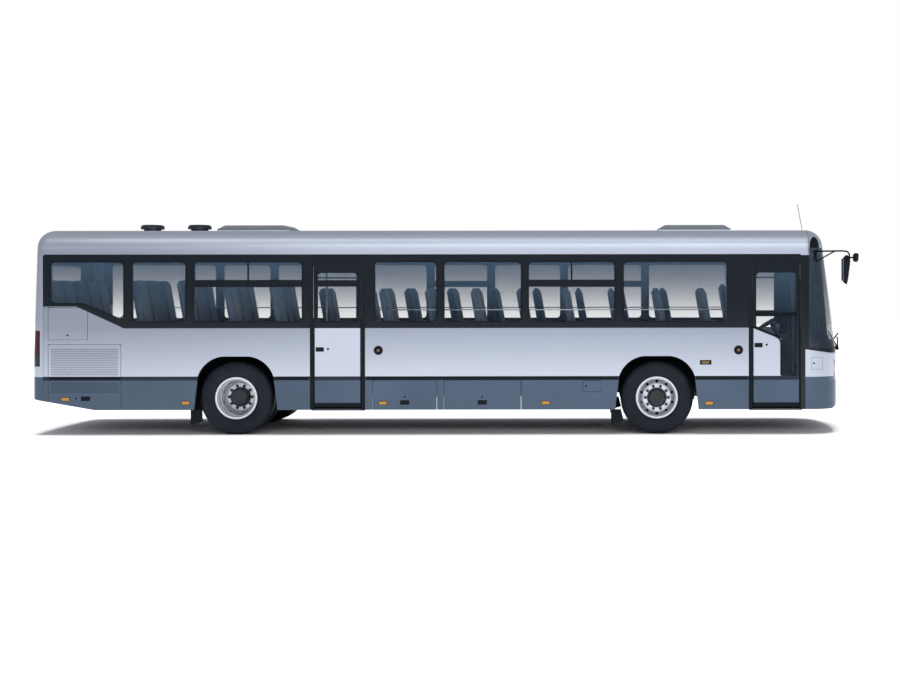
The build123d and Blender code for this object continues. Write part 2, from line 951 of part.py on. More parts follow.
for x in doors.values():
    for i in range(step_count):
        y0 = -inner_y + i * step_run
        y1 = y0 + step_run
        top_z = tread_z + i * step_rise
        riser_top = top_z + step_rise if i < step_count - 1 else floor_z
        floor_parts.append(block(x, x + door_width, y0, y1, top_z - step_sheet, top_z))
        floor_parts.append(block(x, x + door_width, y1 - step_sheet, y1, top_z, riser_top))
    for wall_x in (x - step_sheet, x + door_width):
        wall_x1 = wall_x + step_sheet
        floor_parts.append(block(wall_x, wall_x1, -inner_y, well_y, tread_z - step_sheet, floor_z))
podium_top_z = floor_z + podium_height
podium_x1 = middle_door_x0 - podium_door_gap
rear_box_x0 = rear_axle_x - wheel_box_half_length
rear_box_x1 = rear_axle_x + wheel_box_half_length
floor_parts.append(block(deck_x0, rear_box_x0, -inner_y, inner_y, floor_z, podium_top_z))
floor_parts.append(
    block(rear_box_x0, rear_box_x1, -wheel_box_inner_y, wheel_box_inner_y, floor_z, podium_top_z)
)
floor_parts.append(block(rear_box_x1, podium_x1, -inner_y, inner_y, floor_z, podium_top_z))
platform_z = floor_z + driver_platform_height
platform_x0 = driver_x0 - platform_lead
floor_parts.append(block(platform_x0, deck_x1 - dash_depth, platform_inner_y, inner_y, floor_z, platform_z))
floor = solids_of(*[part & inner_body for part in floor_parts])
save(floor, "floor")
save(solids_of(*wheel_boxes), "wheel_boxes")

# Mud flaps hang behind each wheel from its box
flaps = []
for axle_x in (rear_axle_x, front_axle_x):
    for side in (-1, 1):
        x = axle_x - wheel_box_half_length
        y_in = side * mud_flap_inner_y
        y_out = side * inner_y
        flap = block(x, x + mud_flap_sheet, min(y_in, y_out), max(y_in, y_out), mud_flap_low_z, skirt_z)
        web_y = side * (inner_y - mud_flap_sheet)
        web = outline(
            [
                (x, mud_flap_low_z),
                (x + mud_flap_web_low, mud_flap_low_z + mud_flap_web_rise),
                (x + mud_flap_web_high, skirt_z),
                (x, skirt_z),
            ]
        )
        flaps.append(flap + side_prism(web, min(web_y, y_out), max(web_y, y_out)))
save(solids_of(*flaps), "mud_flaps")

# Frame: two rails joined by cross members
frame_x0 = rear_tip_x + frame_rear_gap
frame_x1 = front_tip_x - frame_front_gap
frame_z1 = floor_z - floor_thickness
frame_z0 = frame_z1 - rail_depth
frame = None
for side in (-1, 1):
    y0 = min(side * rail_y, side * (rail_y - rail_thickness))
    rail = block(frame_x0, frame_x1, y0, y0 + rail_thickness, frame_z0, frame_z1)
    frame = rail if frame is None else frame + rail
for i in range(cross_member_count):
    x = frame_x0 + i * (frame_x1 - frame_x0 - cross_member_width) / (cross_member_count - 1)
    member_z0 = frame_z1 - rail_depth * cross_member_share
    frame += block(x, x + cross_member_width, -rail_y, rail_y, member_z0, frame_z1)
for side in (-1, 1):
    y0 = min(side * rail_y, side * (rail_y - rail_thickness))
    pad_x1 = jack_pad_length / 2
    frame += block(-pad_x1, pad_x1, y0, y0 + rail_thickness, frame_z0 - jack_pad_depth, frame_z0)
engine_x0 = rear_tip_x + engine_tail_gap
engine_x1 = engine_x0 + engine_length
engine_inner_y = rail_y - rail_thickness
frame -= block(
    engine_x0 - seat_gap,
    engine_x1 + seat_gap,
    -engine_inner_y,
    engine_inner_y,
    frame_z0,
    frame_z1,
)
save(frame, "frame")
save(
    block(engine_x0, engine_x1, seat_gap - engine_inner_y, engine_inner_y - seat_gap, engine_low_z, frame_z1),
    "engine",
)
tank_x0 = front_axle_x - tank_behind_axle
save(
    fillet(
        block(
            tank_x0,
            tank_x0 + tank_length,
            -inner_y,
            tank_depth - inner_y,
            frame_z1 - tank_height,
            frame_z1,
        ).edges().filter_by(Axis.X),
        tank_edge_radius,
    ),
    "fuel_tank",
)


# Wheels, tyres, knuckles and axles
def turned(points, centre):
    """Solid turned about the Y axis through a centre, from (radius, y) points."""
    face = make_face(Polyline(*[(centre[0] + r, y, centre[2]) for r, y in points], close=True))
    return revolve(face, Axis(centre, (0, 1, 0)), revolution_arc=360)


def tyre_at(x, y):
    half = tyre_width / 2
    tread_half = half - tyre_shoulder
    points = [
        (rim_radius, y - half + tyre_shoulder),
        (rim_radius + tyre_shoulder, y - half),
        (tyre_radius - 2 * tyre_shoulder, y - half),
        (tyre_radius - shoulder_drop, y - tread_half - shoulder_step),
        (tyre_radius, y - tread_half),
        (tyre_radius, y + tread_half),
        (tyre_radius - shoulder_drop, y + tread_half + shoulder_step),
        (tyre_radius - 2 * tyre_shoulder, y + half),
        (rim_radius + tyre_shoulder, y + half),
        (rim_radius, y + half - tyre_shoulder),
    ]
    return turned(points, (x, 0, tyre_radius))


def rim_at(x, y, face_y, side, root_offset, bore, turn_share):
    """Rim with its disc. The disc's mounting face is at face_y and the wheel's outside is on side."""
    half = rim_width / 2
    flange = half + rim_sheet
    inner = rim_radius - rim_sheet
    barrel = turned(
        [
            (inner, y - flange),
            (rim_flange_radius, y - flange),
            (rim_flange_radius, y - half),
            (rim_radius, y - half),
            (rim_radius, y + half),
            (rim_flange_radius, y + half),
            (rim_flange_radius, y + flange),
            (inner, y + flange),
        ],
        (x, 0, tyre_radius),
    )
    root_y = y + side * root_offset
    disc = turned(
        [
            (bore, face_y - side * disc_sheet),
            (bore, face_y),
            (stud_circle + hub_flat, face_y),
            (inner + rim_sheet / 2, root_y),
            (inner + rim_sheet / 2, root_y - side * disc_sheet),
            (stud_circle + hub_flat, face_y - side * disc_sheet),
        ],
        (x, 0, tyre_radius),
    )
    for i in range(hand_hole_count):
        angle = radians((i + turn_share + hand_hole_turn_share) * 360 / hand_hole_count)
        hole_x = x + hand_hole_circle * cos(angle)
        hole_z = tyre_radius + hand_hole_circle * sin(angle)
        start = (hole_x, y - side * flange, hole_z)
        disc -= rod(hand_hole_radius, start, (0, side, 0), 2 * flange)
    return barrel + disc


def studs_at(x, face_y, side, turn_share):
    bolts = None
    for i in range(stud_count):
        angle = radians((i + turn_share) * 360 / stud_count)
        stud_x = x + stud_circle * cos(angle)
        stud_z = tyre_radius + stud_circle * sin(angle)
        start = (stud_x, face_y - side * disc_sheet, stud_z)
        bolt = rod(stud_radius, start, (0, side, 0), disc_sheet + stud_length)
        bolts = bolt if bolts is None else bolts + bolt
    return bolts


front_bore = hub_bore + pin_clearance
rear_bore = axle_tube_radius + pin_clearance
for side, word in ((-1, "right"), (1, "left")):
    centre_y = side * front_wheel_y
    face_y = centre_y + side * front_face_offset
    save(tyre_at(front_axle_x, centre_y), "front_" + word + "_tyre")
    turn_share = wheel_turn_shares[word]
    wheel = rim_at(front_axle_x, centre_y, face_y, side, front_root_offset, front_bore, turn_share)
    wheel += studs_at(front_axle_x, face_y, side, turn_share)
    hub_end_y = face_y + side * front_hub_length
    brake_y = face_y - side * disc_sheet
    wheel += turned(
        [
            (front_bore, brake_y - side * brake_width),
            (front_bore, hub_end_y - side * disc_sheet),
            (0, hub_end_y - side * disc_sheet),
            (0, hub_end_y),
            (hub_radius * hub_taper_share, hub_end_y),
            (hub_radius, face_y),
            (hub_radius, brake_y),
            (brake_radius, brake_y),
            (brake_radius, brake_y - side * brake_width),
        ],
        (front_axle_x, 0, tyre_radius),
    )
    save(wheel, "front_" + word + "_wheel")

    spindle_y0 = side * (king_pin_y + knuckle_back_offset)
    spindle_length = abs(hub_end_y - side * disc_sheet - spindle_y0) - seat_gap
    knuckle = rod(hub_bore, (front_axle_x, spindle_y0, tyre_radius), (0, side, 0), spindle_length)
    lug_reach = king_boss_height / 2 + seat_gap
    back_y0 = side * (king_pin_y + knuckle_back_offset)
    back_y1 = back_y0 + side * knuckle_back_sheet
    knuckle += block(
        front_axle_x - knuckle_back_x / 2,
        front_axle_x + knuckle_back_x / 2,
        min(back_y0, back_y1),
        max(back_y0, back_y1),
        tyre_radius - lug_reach - knuckle_lug,
        tyre_radius + lug_reach + knuckle_lug,
    )
    for lug_z in (tyre_radius - lug_reach - knuckle_lug, tyre_radius + lug_reach):
        lug_plate = rod(king_boss_radius, (front_axle_x, side * king_pin_y, lug_z), (0, 0, 1), knuckle_lug)
        lug_y = side * king_pin_y
        lug_plate += block(
            front_axle_x - king_boss_radius,
            front_axle_x + king_boss_radius,
            min(lug_y, back_y1),
            max(lug_y, back_y1),
            lug_z,
            lug_z + knuckle_lug,
        )
        knuckle += lug_plate
    knuckle += rod(
        king_pin_radius,
        (front_axle_x, side * king_pin_y, tyre_radius - lug_reach),
        (0, 0, 1),
        2 * lug_reach,
    )
    save(knuckle, "front_" + word + "_knuckle")

    outer_y = side * rear_outer_wheel_y
    inner_wheel_y = side * (rear_outer_wheel_y - dual_spacing)
    rear_face_y = side * (rear_outer_wheel_y - dual_spacing / 2)
    tyres = solids_of(tyre_at(rear_axle_x, outer_y), tyre_at(rear_axle_x, inner_wheel_y))
    save(tyres, "rear_" + word + "_tyres")
    outer_face_y = rear_face_y + side * disc_sheet
    inner_face_y = rear_face_y - side * disc_sheet
    twin = rim_at(rear_axle_x, outer_y, outer_face_y, side, rear_root_offset, rear_bore, turn_share)
    twin += rim_at(rear_axle_x, inner_wheel_y, inner_face_y, -side, rear_root_offset, rear_bore, turn_share)
    twin += studs_at(rear_axle_x, outer_face_y, side, turn_share)
    cap_y = rear_face_y + side * rear_hub_length
    twin += turned(
        [
            (rear_bore, rear_face_y - side * rear_brake_offset),
            (rear_bore, cap_y - side * disc_sheet),
            (0, cap_y - side * disc_sheet),
            (0, cap_y),
            (hub_radius * hub_taper_share, cap_y),
            (hub_radius, cap_y - side * hub_chamfer),
            (hub_radius, rear_face_y - side * disc_sheet),
            (brake_radius, rear_face_y - side * disc_sheet),
            (brake_radius, rear_face_y - side * rear_brake_offset),
        ],
        (rear_axle_x, 0, tyre_radius),
    )
    save(twin, "rear_" + word + "_wheels")

# Front axle beam with its leaf springs
spring_z0 = frame_z0 - spring_height
front_axle = block(
    front_axle_x - beam_width / 2,
    front_axle_x + beam_width / 2,
    -king_pin_y,
    king_pin_y,
    tyre_radius - beam_height / 2,
    tyre_radius + beam_height / 2,
)
for side in (-1, 1):
    front_axle -= rod(
        king_boss_radius + part_gap * 2, (front_axle_x, side * king_pin_y, skirt_z), (0, 0, 1), roof_z
    )
    boss_z = tyre_radius - king_boss_height / 2
    boss = rod(king_boss_radius, (front_axle_x, side * king_pin_y, boss_z), (0, 0, 1), king_boss_height)
    neck_y0 = side * (king_pin_y - king_boss_radius - part_gap * 3)
    neck_y1 = side * king_pin_y
    boss += block(
        front_axle_x - neck_width / 2,
        front_axle_x + neck_width / 2,
        min(neck_y0, neck_y1),
        max(neck_y0, neck_y1),
        tyre_radius - beam_height / 2,
        tyre_radius + beam_height / 2,
    )
    boss -= rod(
        king_pin_radius + pin_clearance,
        (front_axle_x, side * king_pin_y, boss_z),
        (0, 0, 1),
        king_boss_height,
    )
    front_axle += boss


def spring_pair(axle_x, seat_z):
    """Leaf springs under the rails, and the seats that rest on an axle."""
    pair = None
    for side in (-1, 1):
        y0 = min(side * rail_y, side * (rail_y - rail_thickness))
        x0 = axle_x - spring_length / 2
        spring = block(x0, x0 + spring_length, y0, y0 + rail_thickness, spring_z0, frame_z0)
        gap_x0 = axle_x - spring_length * spring_arch_share / 2
        spring -= block(
            gap_x0,
            gap_x0 + spring_length * spring_arch_share,
            y0,
            y0 + rail_thickness,
            frame_z0 - spring_height / 2,
            frame_z0,
        )
        pad = beam_width / 2
        spring += block(axle_x - pad, axle_x + pad, y0, y0 + rail_thickness, seat_z, spring_z0)
        pair = spring if pair is None else pair + spring
    return pair


front_axle += spring_pair(front_axle_x, tyre_radius)
save(front_axle, "front_axle")
tube_end = rear_outer_wheel_y - dual_spacing / 2 + rear_hub_length - disc_sheet - seat_gap
rear_axle = rod(axle_tube_radius, (rear_axle_x, -tube_end, tyre_radius), (0, 1, 0), 2 * tube_end)
rear_axle += Pos(rear_axle_x, 0, tyre_radius) * Sphere(differential_radius)
rear_axle &= block(
    rear_axle_x - differential_radius,
    rear_axle_x + differential_radius,
    -tube_end,
    tube_end,
    tyre_radius - differential_radius,
    frame_z1,
)
rear_axle += spring_pair(rear_axle_x, tyre_radius)
save(rear_axle, "rear_axle")


# Seats: cushion and back in one L-shaped solid per place, on a plinth
def seat_at(x, y, base_z):
    """One seat facing forward. x is the back of the cushion and y its middle."""
    cushion_z = base_z + seat_height
    shell_outline = outline(
        [
            (x - back_thickness, cushion_z - cushion_thickness),
            (x + cushion_depth, cushion_z - cushion_thickness),
            (x + cushion_depth, cushion_z),
            (x, cushion_z),
            (x - back_recline, cushion_z + back_height),
            (x - back_recline - back_thickness, cushion_z + back_height),
        ]
    )
    cushion = side_prism(shell_outline, y - seat_width / 2, y + seat_width / 2)
    return cushion


def plinth_at(x, y, base_z):
    """Legs and frame under a pair of seats."""
    z1 = base_z + seat_height - cushion_thickness
    return block(
        x,
        x + cushion_depth * plinth_share,
        y - plinth_width / 2,
        y + plinth_width / 2,
        base_z,
        z1,
    )


seats = []
plinths = []
pair_y = inner_y - seat_wall_gap - seat_width - seat_pair_gap / 2
wheel_spans = [
    (axle_x - wheel_box_half_length, axle_x + wheel_box_half_length) for axle_x in (rear_axle_x, front_axle_x)
]


def add_pair(x, side):
    """Two seats beside the aisle, on the rear podium or on the deck."""
    on_podium = x + cushion_depth * plinth_share < podium_x1
    base_z = floor_z + podium_height if on_podium else floor_z
    middle_y = side * pair_y
    for offset in (-1, 1):
        seats.append(seat_at(x, middle_y + offset * (seat_width + seat_pair_gap) / 2, base_z))
    plinth = plinth_at(x, middle_y, base_z)
    if any(x0 - cushion_depth < x < x1 for x0, x1 in wheel_spans):
        for zone in wheel_zones:
            plinth = plinth - zone
    if not on_podium and x < podium_x1:
        plinth = plinth - floor
    plinths.append(plinth)


rear_row_x = deck_x0 + rear_seat_gap
# Columns: place of the foremost seat, rearmost place allowed, side
seat_rows = [
    (middle_door_x0 - cushion_depth, rear_row_x + seat_pitch, -1),
    (front_door_x0 - right_front_seat_gap, middle_door_x1 + door_seat_gap, -1),
    (front_door_x0 - left_front_seat_gap, rear_row_x + seat_pitch, 1),
]
for first_x, last_x, side in seat_rows:
    for i in range(int((first_x - last_x) / seat_pitch) + 1):
        add_pair(first_x - i * seat_pitch, side)
for side in (-1, 1):
    add_pair(rear_row_x, side)
seats.append(seat_at(rear_row_x, 0, floor_z + podium_height))
plinths.append(plinth_at(rear_row_x, 0, floor_z + podium_height))

# Driver's place, on its own platform at the left, and the passengers' seats
driver_y = (platform_inner_y + inner_y) / 2
driver_seat_x = driver_x0 - driver_seat_behind
seats.append(seat_at(driver_seat_x, driver_y, platform_z))
driver_base = block(
    driver_seat_x,
    driver_seat_x + cushion_depth * plinth_share,
    driver_y - plinth_width / 2,
    driver_y + plinth_width / 2,
    platform_z,
    platform_z + seat_height - cushion_thickness,
)
plinths.append(driver_base)
save(solids_of(*seats), "seats")
save(solids_of(*plinths), "seat_plinths")

dash_x0 = deck_x1 - dash_depth
dash = block(dash_x0, far_x, -inner_y, inner_y, floor_z, dash_z) & inner_body
dash -= block(dash_x0 + dash_sheet, far_x, -inner_y, inner_y, floor_z, dash_z - dash_sheet)
dash += block(
    dash_x0 - binnacle_depth,
    dash_x0,
    driver_y - binnacle_width / 2,
    driver_y + binnacle_width / 2,
    dash_z - binnacle_drop,
    dash_z + binnacle_rise,
)
column_start = (dash_x0 - binnacle_depth / 2, driver_y, dash_z + column_lift)
column_direction = (-cos(radians(column_rise_angle)), 0, sin(radians(column_rise_angle)))
dash += rod(column_radius, column_start, column_direction, column_length)
rim_centre = tuple(a + column_length * b for a, b in zip(column_start, column_direction))
rim_plane = Plane(origin=rim_centre, z_dir=column_direction)
dash += rim_plane * Torus(steering_rim_radius, steering_rim_section)
for i in range(spoke_count):
    spoke = Rot(0, 0, i * 360 / spoke_count) * (
        Pos(steering_rim_radius / 2, 0, 0) * Box(steering_rim_radius, spoke_width, steering_rim_section)
    )
    dash += rim_plane * spoke
save(dash, "dashboard")

# Handrails: posts from the floor to the roof, beside the aisle
ceiling_z = roof_z - wall
posts = []
for x in (middle_door_x0 + handrail_step, middle_door_x1 - handrail_step, front_door_x0 + handrail_step):
    posts.append(rod(handrail_radius, (x, -handrail_y, floor_z), (0, 0, 1), ceiling_z - floor_z))
save(solids_of(*posts), "handrails")

# Mirrors on arms: the right one from the roof's corner, the left one from the pillar by the driver
def mirror_set(side, root_x, knee_x, arm_z):
    root_y = side * (half_width - mirror_root_inset)
    knee = (knee_x, side * (half_width + mirror_knee_out), arm_z)
    arm = rod(
        mirror_arm_radius,
        (root_x, root_y, arm_z),
        (knee_x - root_x, knee[1] - root_y, 0),
        ((knee_x - root_x) ** 2 + (knee[1] - root_y) ** 2) ** 0.5,
    )
    arm += rod(mirror_arm_radius, knee, (0, 0, -1), 2 * mirror_drop)
    arm += Pos(*knee) * Sphere(mirror_knuckle_radius)
    head_y0 = knee[1] - mirror_head_width / 2
    head = block(
        knee_x - mirror_head_depth / 2,
        knee_x + mirror_head_depth / 2,
        head_y0,
        head_y0 + mirror_head_width,
        arm_z - mirror_drop - mirror_head_height,
        arm_z - mirror_drop,
    )
    head = fillet(head.edges(), mirror_head_round)
    wide_x1 = knee_x + mirror_knee_behind
    wide_y0 = knee[1] - wide_mirror_width / 2
    wide = block(
        wide_x1 - wide_mirror_depth,
        wide_x1,
        wide_y0,
        wide_y0 + wide_mirror_width,
        arm_z - wide_mirror_drop - wide_mirror_height,
        arm_z - wide_mirror_drop,
    )
    wide = fillet(wide.edges(), mirror_head_round)
    tip = rod(
        mirror_arm_radius,
        (knee_x, knee[1], arm_z - wide_mirror_drop - wide_mirror_height / 2),
        (1, 0, 0),
        wide_x1 - wide_mirror_depth / 2 - knee_x,
    )
    return (arm + head + wide + tip) - outer_body


mirror_knee_x = overall_length / 2 - mirror_knee_behind
left_knee_x = mirror_knee_x - left_mirror_behind
mirrors = [
    mirror_set(-1, front_tip_x - mirror_root_behind, mirror_knee_x, mirror_arm_z),
    mirror_set(1, left_knee_x - left_mirror_root_behind, left_knee_x, left_mirror_arm_z),
]
save(solids_of(*mirrors), "mirrors")

# Wipers resting on the windscreen's sill, and the aerial
wipers = []
for side in (-1, 1):
    y = side * wiper_spread
    spindle_x = front_tip_x - wiper_behind
    arm = rod(wiper_radius, (spindle_x, y, wiper_z), (1, 0, 0), wiper_stand)
    arm += rod(
        wiper_radius,
        (spindle_x + wiper_stand - wiper_radius, y, wiper_z),
        (0, -side * wiper_blade_run, wiper_blade_rise),
        wiper_length,
    )
    wipers.append(arm - outer_body)
save(solids_of(*wipers), "wipers")
aerial_foot = (front_tip_x - aerial_behind, 0, roof_z - wall / 2)
aerial = rod(aerial_foot_radius, aerial_foot, (0, 0, 1), aerial_foot_height)
aerial += rod(aerial_radius, aerial_foot, (-aerial_lean, 0, aerial_rise), aerial_length)
save(aerial - outer_body, "aerial")
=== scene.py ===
import math

import bmesh
import bpy
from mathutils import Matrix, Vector


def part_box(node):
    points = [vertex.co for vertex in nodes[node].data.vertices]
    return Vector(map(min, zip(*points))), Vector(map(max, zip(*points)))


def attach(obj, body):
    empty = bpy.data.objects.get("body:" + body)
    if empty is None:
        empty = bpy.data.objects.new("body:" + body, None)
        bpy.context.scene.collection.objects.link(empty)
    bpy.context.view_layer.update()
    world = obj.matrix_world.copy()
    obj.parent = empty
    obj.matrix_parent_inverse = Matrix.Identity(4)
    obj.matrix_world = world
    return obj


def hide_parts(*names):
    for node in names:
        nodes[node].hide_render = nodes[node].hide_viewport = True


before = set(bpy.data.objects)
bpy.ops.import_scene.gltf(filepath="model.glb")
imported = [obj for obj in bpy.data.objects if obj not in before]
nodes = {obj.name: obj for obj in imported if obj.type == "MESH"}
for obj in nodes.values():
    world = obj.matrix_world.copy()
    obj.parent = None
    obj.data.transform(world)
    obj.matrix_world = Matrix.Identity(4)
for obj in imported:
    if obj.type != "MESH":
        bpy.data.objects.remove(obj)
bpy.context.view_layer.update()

# Lines of the body's paint, in metres
skirt_low_z = 0.375
skirt_top = 0.785
rail_top = 0.842
band_low = 1.536
band_high = 2.585
band_rear_low = 1.852
band_slope_rear_x = -5.26
band_slope_front_x = -4.578
side_y = -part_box("right_front_wall")[0].y
weld = 0.0002
mask_start_x = 5.236
mask_end_x = 5.620
mask_low_z = 0.828
flap_low = (5.325, 0.935)
flap_high = (5.488, 1.108)
flap_lock = (5.361, 1.022)
lock_radius = 0.015
rear_slat_pitch = 0.040
plate_half = 0.26
plate_low_z = 0.500
plate_height = 0.115
rear_plate_low_z = 0.665
headlamp_glass_half = 1.02
headlamp_low, headlamp_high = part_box("headlamps")
reflector_z = (headlamp_low.z + headlamp_high.z) / 2 + 0.02
reflectors = ((0.765, 0.085), (0.935, 0.070))
roof_seam_x = 5.285
corner_oval = (5.372, 2.700)
corner_oval_radii = (0.075, 0.150)
door_slant_x = (4.47, 4.85)
door_slant_z = (1.534, 1.385)
front_corner_x = 4.884
pale_skirt_z = (0.36, 0.50)
mask_top_z = (1.224, 1.168)
rear_band_z = (1.90, 2.52)
rear_band_half = 0.99
rear_louvre_z = (0.92, 1.40)
rear_louvre_half = 0.62
roof_line_pitch = 0.022
edge_half = 0.0005

# Places along the bus that the photograph shows, as distances from the model's middle
nose_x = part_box("right_front_wall")[1].x
cap_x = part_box("right_rear_wall")[0].x
front_axle_x = (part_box("front_right_tyre")[0].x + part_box("front_right_tyre")[1].x) / 2
rear_axle_x = (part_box("rear_right_tyres")[0].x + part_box("rear_right_tyres")[1].x) / 2
wheel_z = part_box("front_right_tyre")[1].z / 2
tyre_radius = wheel_z


# Shader helpers
class Shader:
    """A material's node tree, with a short call for each kind of node it uses."""

    def __init__(self, name, colour, roughness, metallic=0.0):
        self.material = bpy.data.materials.new(name)
        self.material.use_nodes = True
        self.tree = self.material.node_tree
        self.surface = self.tree.nodes["Principled BSDF"]
        self.surface.inputs["Base Color"].default_value = (*colour, 1.0)
        self.surface.inputs["Roughness"].default_value = roughness
        self.surface.inputs["Metallic"].default_value = metallic

    def add(self, kind, **settings):
        node = self.tree.nodes.new(kind)
        for key, value in settings.items():
            setattr(node, key, value)
        return node

    def link(self, output, socket):
        self.tree.links.new(output, socket)

    def place(self):
        """The point's x, y and z in the frame at rest."""
        coordinates = self.add("ShaderNodeTexCoord")
        parts = self.add("ShaderNodeSeparateXYZ")
        self.link(coordinates.outputs["Object"], parts.inputs[0])
        return parts.outputs

    def number(self, value, socket):
        """Sets a socket to a plain number, or links an output to it."""
        if isinstance(value, (int, float)):
            socket.default_value = value
        else:
            self.link(value, socket)

    def math(self, operation, a, b=0.0, c=0.0):
        node = self.add("ShaderNodeMath", operation=operation)
        for socket, value in zip(node.inputs, (a, b, c)):
            self.number(value, socket)
        return node.outputs[0]

    def minus(self, a, b):
        return self.math("SUBTRACT", a, b)

    def times(self, a, b):
        return self.math("MULTIPLY", a, b)

    def most(self, a, b):
        return self.math("MAXIMUM", a, b)

    def off(self, value, middle=0.0):
        """How far a value is from a middle, either way."""
        return self.math("ABSOLUTE", self.minus(value, middle) if middle else value)

    def wave(self, value, pitch):
        return self.math("SINE", self.times(value, 2 * math.pi / pitch))

    def above(self, value, height):
        """1 above a height and 0 below it, with an edge of a millimetre."""
        return self.spread(self.minus(value, height), -edge_half, edge_half)

    def below(self, value, height):
        return self.minus(1.0, self.above(value, height))

    def between(self, value, low, high):
        return self.times(self.above(value, low), self.below(value, high))

    def clouds(self, scale, detail):
        """Soft blotches, from 0 to 1."""
        return self.spread(self.noise(scale, detail), 0.3, 0.7)

    def noise(self, scale, detail=4.0, stretch=(1, 1, 1)):
        coordinates = self.add("ShaderNodeTexCoord")
        mapping = self.add("ShaderNodeMapping")
        mapping.inputs["Scale"].default_value = stretch
        self.link(coordinates.outputs["Object"], mapping.inputs["Vector"])
        node = self.add("ShaderNodeTexNoise")
        node.inputs["Scale"].default_value = scale
        node.inputs["Detail"].default_value = detail
        self.link(mapping.outputs[0], node.inputs["Vector"])
        return node.outputs["Fac"]

    def spread(self, value, low, high, to_low=0.0, to_high=1.0):
        """Maps a value from one range to another, and holds it at the ends."""
        node = self.add("ShaderNodeMapRange")
        for socket, number in zip(node.inputs[1:5], (low, high, to_low, to_high)):
            self.number(number, socket)
        self.link(value, node.inputs["Value"])
        return node.outputs["Result"]

    def mix(self, share, first, second):
        node = self.add("ShaderNodeMix", data_type="RGBA")
        self.number(share, node.inputs[0])
        for socket, value in ((node.inputs[6], first), (node.inputs[7], second)):
            if isinstance(value, tuple):
                socket.default_value = (*value, 1.0)
            else:
                self.link(value, socket)
        return node.outputs[2]

    def blend_number(self, share, first, second):
        node = self.add("ShaderNodeMix", data_type="FLOAT")
        self.number(share, node.inputs[0])
        self.number(first, node.inputs[2])
        self.number(second, node.inputs[3])
        return node.outputs[0]

    def colour(self, output):
        self.link(output, self.surface.inputs["Base Color"])

    def roughness(self, output):
        self.link(output, self.surface.inputs["Roughness"])

    def metallic(self, output):
        self.link(output, self.surface.inputs["Metallic"])

    def bump(self, height, distance, strength=1.0):
        node = self.add("ShaderNodeBump")
        node.inputs["Strength"].default_value = strength
        node.inputs["Distance"].default_value = distance
        self.link(height, node.inputs["Height"])
        self.link(node.outputs["Normal"], self.surface.inputs["Normal"])

    def gloss(self, level):
        """How strongly a surface that isn't metal mirrors its surroundings."""
        self.surface.inputs["Specular IOR Level"].default_value = level

    def coat(self, weight, roughness):
        self.surface.inputs["Coat Weight"].default_value = weight
        self.surface.inputs["Coat Roughness"].default_value = roughness


# Colours, linear
silver = (0.51, 0.55, 0.63)
silver_dim = (0.46, 0.50, 0.59)
# The darkest painted shade of the silver
silver_painted_shade = (0.24, 0.27, 0.34)
silver_fleck = (0.70, 0.73, 0.79)
plate_white = (0.72, 0.73, 0.71)
housing_dark = (0.020, 0.026, 0.034)
skirt_blue = (0.060, 0.088, 0.135)
skirt_light = (0.075, 0.106, 0.158)
skirt_pale = (0.075, 0.105, 0.150)
roof_line = (0.42, 0.45, 0.50)
band_black = (0.005, 0.009, 0.014)
rail_dark = (0.012, 0.021, 0.035)
rubber_black = (0.007, 0.010, 0.014)
tyre_black = (0.005, 0.008, 0.014)
steel_grey = (0.32, 0.34, 0.37)
iron_dark = (0.05, 0.05, 0.055)
amber = (0.28, 0.15, 0.035)


def flecked_silver(shader, shade=0.0):
    """Metallic paint: fine flakes and a soft cloudiness. Shade, from 0 to 1, darkens it."""
    flakes = shader.noise(240.0, 1.0)
    share = shader.spread(shader.noise(0.7, 3.0), 0.3, 0.7, 0.0, 0.4)
    tint = shader.mix(share, silver, silver_dim)
    tint = shader.mix(shade, tint, silver_painted_shade)
    return shader.mix(shader.spread(flakes, 0.45, 0.75, 0.0, 0.06), tint, silver_fleck)


def skirt_tint(shader):
    return shader.mix(shader.clouds(1.3, 3.0), skirt_blue, skirt_light)


def finish_paint(shader, paint, in_band, above_skirt):
    """The black band over the paint, with the gloss and fine grain that all the painted panels share."""
    shader.colour(shader.mix(in_band, paint, band_black))
    shader.roughness(shader.blend_number(in_band, 0.33, 0.12))
    shader.metallic(shader.blend_number(in_band, shader.blend_number(above_skirt, 0.35, 0.78), 0.0))
    shader.bump(shader.noise(140.0, 2.0), 0.00008, 0.4)
    shader.gloss(0.22)
    shader.coat(0.08, 0.06)
    return shader.material


def side_paint(name, door_panel=False, deepest_painted_shade=0.85):
    """Skirt, dark rail, silver panel darkened upwards by painted shade, and black window band, told apart by
    height.
    """
    shader = Shader(name, silver, 0.3, 0.7)
    x, _, z = shader.place()
    if door_panel:
        slanted = shader.spread(x, *door_slant_x, *door_slant_z)
        past_corner = shader.spread(x, front_corner_x - 0.004, front_corner_x)
        edge = shader.blend_number(past_corner, slanted, rail_top)
    else:
        edge = shader.spread(x, band_slope_rear_x, band_slope_front_x, band_rear_low, band_low)
    above_rail = shader.above(z, rail_top)
    # The skirt turns lighter towards its bottom edge.
    skirt = shader.mix(shader.spread(z, *pale_skirt_z, 0.35, 0.0), skirt_tint(shader), skirt_pale)
    paint = shader.mix(shader.above(z, skirt_top), skirt, rail_dark)
    # Painted shade: the silver grows darker from the rail up to the window band.
    shade = shader.spread(z, rail_top, band_low, 0.0, deepest_painted_shade)
    paint = shader.mix(above_rail, paint, flecked_silver(shader, shade))
    return finish_paint(shader, paint, shader.between(z, edge, band_high), above_rail)


def seam_box(shader, across, z, low, high, width=0.004):
    """1 on the outline of a rectangle given by its low and high corners, and 0 elsewhere."""
    past = []
    for value, start, end in zip((across, z), low, high):
        half = (end - start) / 2
        past.append(shader.minus(shader.off(value, start + half), half))
    return shader.spread(shader.off(shader.most(*past)), width * 0.4, width * 0.6, 1.0, 0.0)


